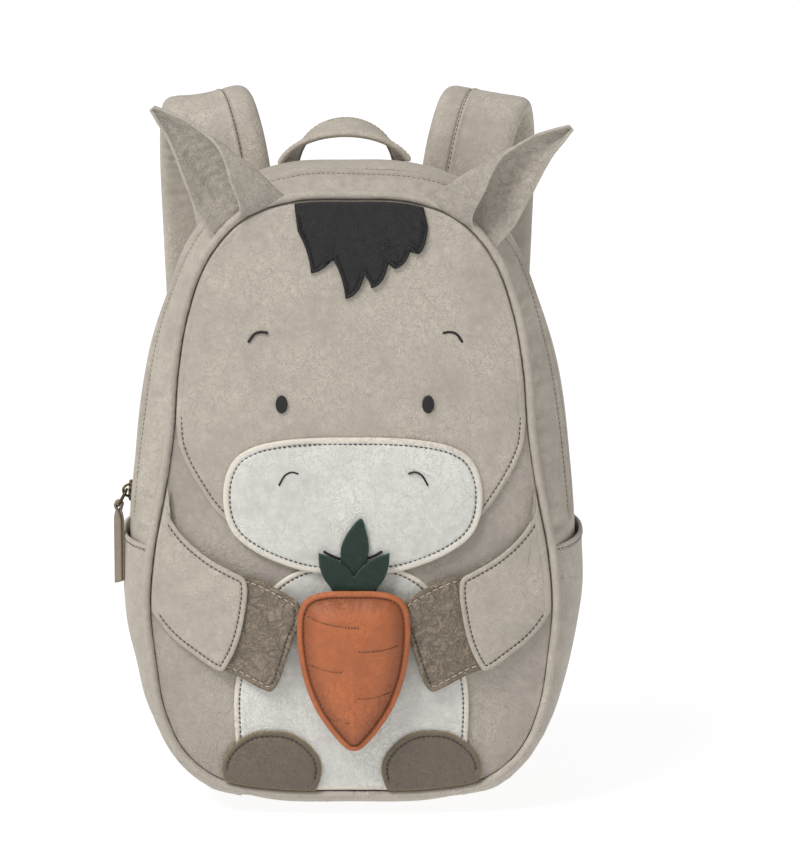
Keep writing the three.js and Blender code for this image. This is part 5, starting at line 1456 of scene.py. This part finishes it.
def build_leaves():
    """Middle leaf, and the two side leaves cut in one piece over it."""
    line = MIDDLE_LEAF_LINE * (MIDDLE_LEAF["half"], MIDDLE_LEAF["height"]) \
        + (MIDDLE_LEAF["middle"], MIDDLE_LEAF["foot"])
    ring = by_length(spline(line, True, np.linspace(0, 1, 801)[:-1]), 150, closed=True)
    leaf = patch("leather_leaf_middle", ring, (2, 138), level(LEAF_LOW), APPLIQUE_T, LEAF_INSET, inner=12,
                 relief=wavy(0.15, 12, 71), sew=False)
    finish(leaf, material("leaf"), "leaf_leather", "leaf_middle")
    half_line = LEAVES_LINE * (LEAVES["half"], LEAVES["height"]) + (0, LEAVES["foot"])
    outer = spline(half_line[:5], False, np.linspace(0, 1, 60))
    inner = spline(half_line[4:], False, np.linspace(0, 1, 60))[1:]
    right = np.concatenate([outer, inner])
    ring = np.concatenate([right, right[::-1][1:] * (-1, 1)]) + (LEAVES["middle"], 0)
    ring = by_length(ring, 200, closed=True)
    sides = patch("leather_leaf_sides", ring, (1.6, 124), level(LEAF_LOW + LEAF_STEP), APPLIQUE_T,
                  LEAF_INSET, inner=14, relief=wavy(0.15, 12, 72), sew=False)
    finish(sides, material("leaf"), "leaf_leather", "leaf_sides")


def nearest(px, pz, x, z, value):
    """Value of a grid at the place nearest to each point."""
    flat = np.stack([x.ravel(), z.ravel()], -1)
    query = np.stack([px, pz], -1)
    found = np.argmin(((query[:, None] - flat[None]) ** 2).sum(-1), axis=1)
    return value.ravel()[found]


def ear_grid(turn, across, lean):
    """Ear: each row runs from the outer edge across the hollow back, round the fold to the free edge."""
    rows = spline(EAR_ROWS, False, by_share(EAR_ROWS[:, 0], cluster(EAR_L, 60)))
    along, out, fold, free, cup, bow = rows.T
    foot = share_at_across(across * PANEL_HALF)
    clear = GAP + PIPING_R + 0.5

    def base(c):
        x, z, out_x, out_z, _ = outline(foot + c * EAR_HALF_W / OUTLINE_LENGTH)
        return np.stack([x + out_x * clear, z + out_z * clear], -1)

    tilt = np.radians(lean)
    way = np.array([np.sin(tilt), np.cos(tilt)])
    inward = np.array([-way[1], way[0]])
    origin = (base(np.array([-1.0])) + base(np.array([1.0])))[0] / 2

    def place(c, y):
        local = origin + way * (along * EAR_L)[:, None] + inward * (c * EAR_HALF_W)[:, None]
        ease = smooth(along / 0.3)[:, None]
        spot = base(c) * (1 - ease) + local * ease
        return np.stack([spot[:, 0], SIDE_FRONT_Y - EAR_T / 2 + y * EAR_CUP, spot[:, 1]], -1)

    control = np.stack([place(out, -0.12 * smooth(along / 0.2)), place((out + fold) / 2, bow),
                        place(fold, -cup / 2), place(free, -cup)])
    grid = spline(control, False, cluster(60.0, 44)).transpose(1, 0, 2)
    grid[..., 0] *= turn
    return grid


def by_share(column, share):
    """Places along a table's rows, 0 to 1, at which a rising column reaches each share."""
    return np.interp(share * column[-1], column, np.linspace(0, 1, len(column)))


def build_ears():
    """Two folded ears, crumpled inside."""
    for name, (turn, across, lean) in EARS.items():
        grid = ear_grid(turn, across, lean)

        def creases(along, run, edge, points):
            fine = ripple(points * (1, 0.4, 1.6), 7, 81 + turn) * 0.35
            return (fine + 0.5 * ripple(points, 22, 84)) * smooth(edge / 5)

        smooth_side = lambda along, run, edge, points: 0.25 * ripple(points, 24, 86) * smooth(edge / 5)
        obj, _, _ = strip(f"leather_{name}", grid, EAR_T, turn=turn, face_relief=smooth_side,
                          back_relief=creases)
        finish(obj, material("ear"), "trim_leather", name)


def roof_height(x, y):
    """Height of the side wall's top above a place."""
    share = np.linspace(0.36, 0.64, 400)
    depth = (y - SIDE_FRONT_Y) / SIDE_DEPTH
    top = side(share, np.full_like(share, np.mean(depth)))
    order = np.argsort(top[:, 0])
    return np.interp(x, top[order, 0], top[order, 2])


def build_handle():
    """Grab handle: a leather band that leans back, rolled at both edges and topstitched."""
    seam = HANDLE_INSET
    foot = PANEL_FOOT + PANEL_H - WALL
    turn = np.linspace(-1, 1, 600) * np.pi / 2
    lines = []
    for share in cluster(HANDLE_W, 16, (seam, HANDLE_W - seam)):
        half_span = np.interp(share, (0, 1), HANDLE_HALF_SPAN) - HANDLE_T / 2
        rise = np.interp(share, (0, 1), HANDLE_TOP) - HANDLE_T / 2
        y = BACK_Y - HANDLE_BACK + (share - 0.5) * HANDLE_W
        line = np.stack([HANDLE_SHIFT + half_span * np.sin(turn), np.full_like(turn, y),
                         foot + (rise - foot) * np.cos(turn) ** 0.8], -1)
        lines.append(by_length(line[line[:, 2] > roof_height(line[:, 0], y) + 0.3], 100))
    grid = np.stack(lines, 1)

    def rolled(along, across, edge, points):
        return 0.5 * bell(edge, 1.3, 0.9) - 0.5 * bell(edge, seam, 0.5)

    obj, face, up = strip("leather_handle", grid, HANDLE_T - 0.6, turn=-1, face_relief=rolled,
                          back_relief=rolled)
    finish(obj, material("trim"), "trim_leather", "grab_handle")
    across = run_along(face, 1)
    rows = [stitch_row(*line_at(face, up, across, d)) for d in
            (np.full(len(face), seam), across[:, -1] - seam)]
    join_beads("stitches_handle", rows, "trim_leather", "pale")


def strap_path(rows, turn, count):
    """Middle line of a strap from its rows, with any further columns read along it."""
    points = rows[:, :3] * (turn * PANEL_HALF, STRAP_LOOP, BAG_TOP) + (STRAP_SHIFT, BACK_Y, 0)
    t = np.linspace(0, 1, 1200)
    line = spline(points, False, t)
    more = [np.interp(t * (len(rows) - 1), np.arange(len(rows)), rows[:, k])
            for k in range(3, rows.shape[1])]
    both = np.concatenate([line, *(m[:, None] for m in more)], 1)
    total = np.linalg.norm(np.diff(line, axis=0), axis=1).sum()
    return by_run(both, total * cluster(total, count))


def build_straps():
    """Padded shoulder straps with their seam, adjusters, webbing and lower tabs."""
    for word, turn in (("left", -1), ("right", 1)):
        both = strap_path(STRAP_ROWS, turn, 200)
        path, width, thick = both[:, :3], both[:, 3] * STRAP_W, both[:, 4] * STRAP_T
        places = cluster(STRAP_W, 26, (STRAP_SEAM, STRAP_SEAM + STRAP_RIDGE))
        roll = np.radians(both[:, 5])
        across = np.stack([turn * np.cos(roll), np.zeros_like(roll), -np.sin(roll)], -1)
        grid = lay_band(path, across, places, width)

        def seam(along, across, edge, points):
            at = STRAP_SEAM / STRAP_W * across[:, -1:]
            here = across - at
            fold = 0.5 * bell(here, 1.6, 1.3) - 1.0 * bell(here, 0, 0.7)
            swell = smooth(edge / 9)
            return fold + 0.9 * swell * (ripple(points, 46, 91 + turn) * 0.6) + 0.5 * swell

        def lining(along, across, edge, points):
            folds = ripple(np.stack([along / 5.0, across / 30], -1), 1.0, 95 + turn)
            bend = bell(along, 0.36 * along[-1:], 30)
            return (0.7 * folds * bend + 0.35 * ripple(points, 40, 97)) * smooth(edge / 6)

        obj, face, up = strip(f"padded_strap_{word}", grid, thick[:, None] - 1.2, turn=turn,
                              face_relief=seam, back_relief=lining)
        finish(obj, material("trim"), "trim_leather", f"shoulder_strap_{word}")
        across = run_along(face, 1)
        at = (STRAP_SEAM + STRAP_STITCH) / STRAP_W * across[:, -1]
        rows = [stitch_row(*line_at(face, up, across, at))]
        join_beads(f"stitches_strap_{word}", rows, "trim_leather")
        build_adjuster(word, turn)
        build_tab(word, turn, build_webbing(word, turn))


def adjuster_ends(turn):
    """Where the strap's tongue ends, where the webbing starts, and the axes between them."""
    to_mm = lambda row: row[:3] * (turn * PANEL_HALF, STRAP_LOOP, BAG_TOP) + (STRAP_SHIFT, BACK_Y, 0)
    end, start = to_mm(STRAP_ROWS[-1]), to_mm(WEBBING_ROWS[0])
    along = unit(start - end)
    through = unit(np.cross(ACROSS, along))
    wide = np.cross(along, through)
    return end, start, wide, along, through


def build_adjuster(word, turn):
    """Ladder adjuster: a flat bar round a rounded square, with a rung across its middle."""
    end, start, wide, along, through = adjuster_ends(turn)
    face = TONGUE_T / 2 + ADJUSTER_CLEAR
    thick = bar = ADJUSTER_BAR
    middle = (end + start) / 2 - through * (face + thick / 2)
    half_w, half_l = WEBBING_W / 2 + bar / 2, ADJUSTER_L / 2 - bar / 2
    spin = np.linspace(0, TAU, 121)[:-1]
    beside = (squared_off(np.cos(spin), 0.35) * half_w)[:, None]
    ahead = (squared_off(np.sin(spin), 0.35) * half_l)[:, None]
    loop = middle + wide * beside + along * ahead
    ring = frame_bar(by_length(loop, 140, closed=True), through, bar, thick, closed=True)
    reach = np.linspace(-half_w + bar * 0.35, half_w - bar * 0.35, 24)
    rung = frame_bar(middle + wide * reach[:, None], through, bar, thick * 0.9, closed=False)
    first = len(ring[0])
    adjuster = new_mesh(f"ladder_adjuster_{word}", np.concatenate([ring[0], rung[0]]),
                        np.concatenate([ring[1], rung[1] + first]))
    finish(adjuster, material("plastic"), "adjuster_plastic", f"adjuster_{word}")


def build_webbing(word, turn):
    """Webbing from the adjuster to its foot, along the rows' path; gives that path."""
    *_, through = adjuster_ends(turn)
    to_face = TONGUE_T / 2 + ADJUSTER_CLEAR - WEBBING_T / 2 - GAP
    path = strap_path(WEBBING_ROWS, turn, 60)[:, :3] - through * to_face
    grid = lay_band(path, ACROSS * turn, cluster(WEBBING_W, 16), WEBBING_W)
    obj, _, _ = strip(f"woven_webbing_{word}", grid, WEBBING_T, turn=turn)
    finish(obj, material("webbing"), "webbing", f"webbing_{word}")
    return path


def build_tab(word, turn, path):
    """Leather tab over the webbing's foot, wider at its lower end and stitched along its sides."""
    foot = path[-1]
    over = (WEBBING_T + TAB_T) / 2 + GAP
    tall = cluster(TAB_L, 26) * TAB_L
    z = foot[2] - TAB_T + (TAB_L - tall)
    order = np.argsort(path[:, 2])
    read = lambda k: np.interp(z, path[order, 2], path[order, k])
    slope = (path[-1] - path[-6]) / (path[-1, 2] - path[-6, 2])
    below = np.minimum(z - foot[2], 0)
    centre = np.stack([read(0) + below * slope[0], read(1) + over + below * slope[1], z], -1)
    share = (tall / TAB_L)[:, None]
    width = (WEBBING_W + 2) + (TAB_W - WEBBING_W - 2) * share
    grid = lay_band(centre, ACROSS * turn, cluster(TAB_W, 16, (TAB_INSET, TAB_W - TAB_INSET)), width)
    groove = lambda a, c, edge, points: -0.4 * bell(edge, TAB_INSET, 0.5)
    obj, face_grid, up = strip(f"leather_tab_{word}", grid, TAB_T, turn=turn, face_relief=groove)
    finish(obj, material("trim"), "trim_leather", f"strap_tab_{word}")
    across = run_along(face_grid, 1)
    rows = [stitch_row(*(v[6:-6] for v in line_at(face_grid, up, across, d))) for d in
            (np.full(len(face_grid), TAB_INSET), across[:, -1] - TAB_INSET)]
    join_beads(f"stitches_tab_{word}", rows, "trim_leather")


def frame_bar(path, up, width, thick, closed):
    """Points and quads of a flat bar with rounded edges along a path, square to one direction."""
    sides = 16
    turn = np.arange(sides) * TAU / sides
    wide = unit(np.cross(unit(slope(path, closed)), up))
    beside = (squared_off(np.cos(turn), 0.5) * width / 2)[None, :, None]
    above = (squared_off(np.sin(turn), 0.5) * thick / 2)[None, :, None]
    grid = path[:, None] + wide[:, None] * beside + up * above
    if not closed:
        ends = [np.repeat(spot[None, None], sides, 1) for spot in (path[0], path[-1])]
        grid = np.concatenate([ends[0], grid, ends[1]])
    return grid.reshape(-1, 3), grid_quads(len(grid), sides, closed, True)


def at_slider():
    """Function from lengths up the zip, across it and outwards to points at the slider's foot."""
    share = 1 - share_at_height(SLIDER_Z)
    reach = SLIDER_L / 2 / OUTLINE_LENGTH
    low = SLOT_FRONT / SIDE_DEPTH
    high = low + ZIP_W / SIDE_DEPTH
    middle = (low + high) / 2
    on_tape = lambda s, d: side(np.array([s]), np.array([d]), -ZIP_SINK)[0]
    up = unit(on_tape(share - reach, middle) - on_tape(share + reach, middle))
    back = unit(on_tape(share, high) - on_tape(share, low))
    out = unit(np.cross(up, back))
    out = out * (-1 if out[0] > 0 else 1)
    foot = on_tape(share, middle) + out * 2 * GAP
    return lambda a, b, c: foot + np.asarray(a)[..., None] * up + np.asarray(b)[..., None] * back \
        + np.asarray(c)[..., None] * out


def build_slider(place):
    """Brass slider, wider at its mouth, with the bridge that holds the loop."""
    t = np.linspace(-1, 1, 40)[:, None]
    turn = np.arange(24)[None] * TAU / 24
    width = SLIDER_W / 2 * (0.62 + 0.38 * smooth((t + 1) / 0.7)) * (1 - 0.25 * smooth((t - 0.7) / 0.3))
    end = np.sqrt(np.clip(1 - np.abs(t) ** 8, 0, 1))
    body = place(t * SLIDER_L / 2 + 0 * turn, squared_off(np.cos(turn), 0.6) * width * end,
                 SLIDER_H / 2 * (1 + squared_off(np.sin(turn), 0.6) * end))
    obj = surface("brass_slider", body, wrap_columns=True)
    finish(obj, material("brass"), "antique_brass", "zip_slider")
    arc = np.linspace(0, np.pi, 24)
    bridge = place(-BRIDGE_R * np.cos(arc) * 1.3, 0 * arc, SLIDER_H - WIRE_R + BRIDGE_R * 1.5 * np.sin(arc))
    finish(tube("brass_bridge", bridge, WIRE_R, 12), material("brass"), "antique_brass")


def build_loop(place):
    """Wire loop that hangs from the bridge, a rounded square; gives its lowest point."""
    ring_top = place(0.0, 0.0, SLIDER_H - 3 * WIRE_R + BRIDGE_R * 1.5 - GAP)
    drop = RING_H - 2 * WIRE_R
    ring_foot = ring_top + (-RING_LEAN, 0, -drop)
    spin = np.arange(80) * TAU / 80
    across = (1 - squared_off(np.cos(spin), 0.5))[:, None] / 2
    loop = ring_top * (1 - across) + ring_foot * across
    loop[:, 1] += squared_off(np.sin(spin), 0.5) * (RING_W / 2 - WIRE_R)
    finish(tube("brass_loop", by_length(loop, 100, closed=True), WIRE_R, 12, closed=True),
           material("brass"), "antique_brass", "zip_loop")
    return ring_foot


def build_pull(ring_foot):
    """Leather pull: a strip folded round the loop's foot, turned and leaning a little."""
    eye = WIRE_R + 2 * GAP + 0.5
    bend = np.linspace(np.pi, 0, 24)
    front = np.stack([np.full(30, PULL_HALF_FOLD), np.linspace(-PULL_L, -eye * 1.6, 30)], -1)
    bow = np.stack([eye * np.cos(bend[::-1]), eye * np.sin(bend[::-1])], -1)
    line = np.concatenate([front, bow, front[::-1] * (-1, 1)])
    line = by_length(line, 160)
    path = np.stack([line[:, 0], np.zeros(len(line)), line[:, 1]], -1)
    grid = lay_band(path, np.array([0.0, 1.0, 0.0]), cluster(PULL_W, 8), PULL_W)
    grid[..., 2] -= 0.35 * grid[..., 1] * smooth(-grid[..., 2] / PULL_L)
    spin = np.radians(PULL_TURN) * smooth(-grid[..., 2] / 8)
    grid = ring_foot + np.stack([grid[..., 0] * np.cos(spin) - grid[..., 1] * np.sin(spin),
                                 grid[..., 0] * np.sin(spin) + grid[..., 1] * np.cos(spin),
                                 grid[..., 2]], -1)
    obj, _, _ = strip("leather_pull", grid, PULL_T)
    finish(obj, material("pull"), "trim_leather", "zip_pull")


def sun(name, elevation, left, strength, softness):
    """Distant light from so many degrees up and to the left of the front, as wide as softness."""
    light = bpy.data.lights.new(name, "SUN")
    light.energy = strength
    light.angle = np.radians(softness)
    obj = bpy.data.objects.new(name, light)
    up, turn = np.radians(elevation), np.radians(left)
    place = Vector((-np.sin(turn) * np.cos(up), -np.cos(turn) * np.cos(up), np.sin(up)))
    obj.location = place * 3
    obj.rotation_euler = place.to_track_quat("Z", "Y").to_euler()
    bpy.context.scene.collection.objects.link(obj)


def build_stage():
    """Pale floor, soft light from above and the left, and the camera of the photograph."""
    reach = np.array([0.0, 0.02, 0.3, 1.0, 3.0, 8.0, 20.0, 40.0])[:, None] / MM
    turn = np.arange(64) * TAU / 64
    grid = np.stack([reach * np.cos(turn), reach * np.sin(turn), 0 * reach * turn], -1)
    floor = surface("studio_floor", grid, wrap_columns=True)
    floor.data.materials.append(lit_floor("light_table_acrylic", colour("floor")))
    if floor.data.polygons[0].normal.z < 0:
        floor.data.flip_normals()
    sun("key_light", **SUN)
    world = bpy.data.worlds.new("soft_studio")
    world.use_nodes = True
    background = world.node_tree.nodes["Background"]
    background.inputs["Color"].default_value = (1, 1, 1, 1)
    background.inputs["Strength"].default_value = WORLD_STRENGTH
    bpy.context.scene.world = world

    tilt = np.radians(CAMERA_TILT)
    aim = np.array([CAMERA_AIM[0], FRONT_Y, CAMERA_AIM[1]]) * MM
    camera = bpy.data.cameras.new("camera")
    camera.sensor_width = 36.0
    camera.lens = FOCAL_PIXELS * camera.sensor_width / PHOTO_PIXELS
    camera.clip_end = 100.0
    obj = bpy.data.objects.new("camera", camera)
    obj.location = aim + np.array([0, -np.cos(tilt), np.sin(tilt)]) * CAMERA_AWAY * MM
    obj.rotation_euler = (np.pi / 2 - tilt, 0, 0)
    bpy.context.scene.collection.objects.link(obj)
    bpy.context.scene.camera = obj
    bpy.context.scene.view_settings.view_transform = "Standard"


class BACKPACK_OT_panels(bpy.types.Operator):
    """Adds the domed front and back panels and the corded piping"""

    bl_idname = "backpack.panels"
    bl_label = "Panels and piping"

    def execute(self, context):
        build_front_panel()
        build_back_panel()
        build_piping()
        return {"FINISHED"}


class BACKPACK_OT_sides(bpy.types.Operator):
    """Adds the side wall with its slot, the zip's tape and its coil"""

    bl_idname = "backpack.sides"
    bl_label = "Sides and zip"

    def execute(self, context):
        build_sides()
        build_zip()
        return {"FINISHED"}


class BACKPACK_OT_pockets(bpy.types.Operator):
    """Adds the two side pockets with their turned-in hems"""

    bl_idname = "backpack.pockets"
    bl_label = "Side pockets"

    def execute(self, context):
        build_pockets()
        return {"FINISHED"}


class BACKPACK_OT_face(bpy.types.Operator):
    """Adds the head panel, the forelock and the satin-stitched eyes and brows"""

    bl_idname = "backpack.face"
    bl_label = "Head, eyes and forelock"

    def execute(self, context):
        build_head()
        build_forelock()
        build_eyes()
        return {"FINISHED"}


class BACKPACK_OT_muzzle(bpy.types.Operator):
    """Adds the white muzzle with its nostrils and smile"""

    bl_idname = "backpack.muzzle"
    bl_label = "Muzzle"

    def execute(self, context):
        build_muzzle()
        return {"FINISHED"}


class BACKPACK_OT_belly(bpy.types.Operator):
    """Adds the white belly patch and the two feet"""

    bl_idname = "backpack.belly"
    bl_label = "Belly and feet"

    def execute(self, context):
        build_belly()
        return {"FINISHED"}


class BACKPACK_OT_arms(bpy.types.Operator):
    """Adds the arms and the crumpled hooves under their ends"""

    bl_idname = "backpack.arms"
    bl_label = "Arms and hooves"

    def execute(self, context):
        build_arms()
        return {"FINISHED"}


class BACKPACK_OT_carrot(bpy.types.Operator):
    """Adds the stuffed carrot and its leaves"""

    bl_idname = "backpack.carrot"
    bl_label = "Carrot and leaves"

    def execute(self, context):
        build_carrot()
        build_leaves()
        return {"FINISHED"}


class BACKPACK_OT_ears(bpy.types.Operator):
    """Adds the two folded ears"""

    bl_idname = "backpack.ears"
    bl_label = "Ears"

    def execute(self, context):
        build_ears()
        return {"FINISHED"}


class BACKPACK_OT_handle(bpy.types.Operator):
    """Adds the leather grab handle on the roof"""

    bl_idname = "backpack.handle"
    bl_label = "Grab handle"

    def execute(self, context):
        build_handle()
        return {"FINISHED"}


class BACKPACK_OT_straps(bpy.types.Operator):
    """Adds the padded straps with their adjusters, webbing and tabs"""

    bl_idname = "backpack.straps"
    bl_label = "Shoulder straps"

    def execute(self, context):
        build_straps()
        return {"FINISHED"}


class BACKPACK_OT_zip_pull(bpy.types.Operator):
    """Adds the zip's slider, its wire loop and the leather pull"""

    bl_idname = "backpack.zip_pull"
    bl_label = "Zip slider and pull"

    def execute(self, context):
        place = at_slider()
        build_slider(place)
        build_pull(build_loop(place))
        return {"FINISHED"}


class BACKPACK_OT_stage(bpy.types.Operator):
    """Adds the light table, the sun, the soft surroundings and the camera"""

    bl_idname = "backpack.stage"
    bl_label = "Floor, light and camera"

    def execute(self, context):
        build_stage()
        return {"FINISHED"}


OPERATORS = [
    BACKPACK_OT_panels, BACKPACK_OT_sides, BACKPACK_OT_pockets, BACKPACK_OT_face,
    BACKPACK_OT_muzzle, BACKPACK_OT_belly, BACKPACK_OT_arms, BACKPACK_OT_carrot, BACKPACK_OT_ears,
    BACKPACK_OT_handle, BACKPACK_OT_straps, BACKPACK_OT_zip_pull, BACKPACK_OT_stage,
]


class BACKPACK_PT_panel(bpy.types.Panel):
    """Sizes, colours and building steps of the backpack"""

    bl_idname = "BACKPACK_PT_panel"
    bl_label = "Child's backpack"
    bl_space_type = "VIEW_3D"
    bl_region_type = "UI"
    bl_category = "Backpack"

    def draw(self, context):
        for group in (context.scene.backpack_sizes, context.scene.backpack_colours):
            box = self.layout.box()
            for name in type(group).__annotations__:
                box.prop(group, name)
        for step in OPERATORS:
            self.layout.operator(step.bl_idname)


CLASSES = [BACKPACK_PG_sizes, BACKPACK_PG_colours, *OPERATORS, BACKPACK_PT_panel]


def register():
    """Registers the classes and hangs the sizes and colours on the scene."""
    for cls in CLASSES:
        bpy.utils.register_class(cls)
    bpy.types.Scene.backpack_sizes = bpy.props.PointerProperty(type=BACKPACK_PG_sizes)
    bpy.types.Scene.backpack_colours = bpy.props.PointerProperty(type=BACKPACK_PG_colours)


def unregister():
    """Takes away what register added."""
    del bpy.types.Scene.backpack_colours
    del bpy.types.Scene.backpack_sizes
    for cls in reversed(CLASSES):
        bpy.utils.unregister_class(cls)


def main():
    """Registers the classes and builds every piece."""
    register()
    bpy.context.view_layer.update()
    for step in OPERATORS:
        getattr(bpy.ops.backpack, step.bl_idname.split(".")[1])()


if __name__ == "__main__":
    main()
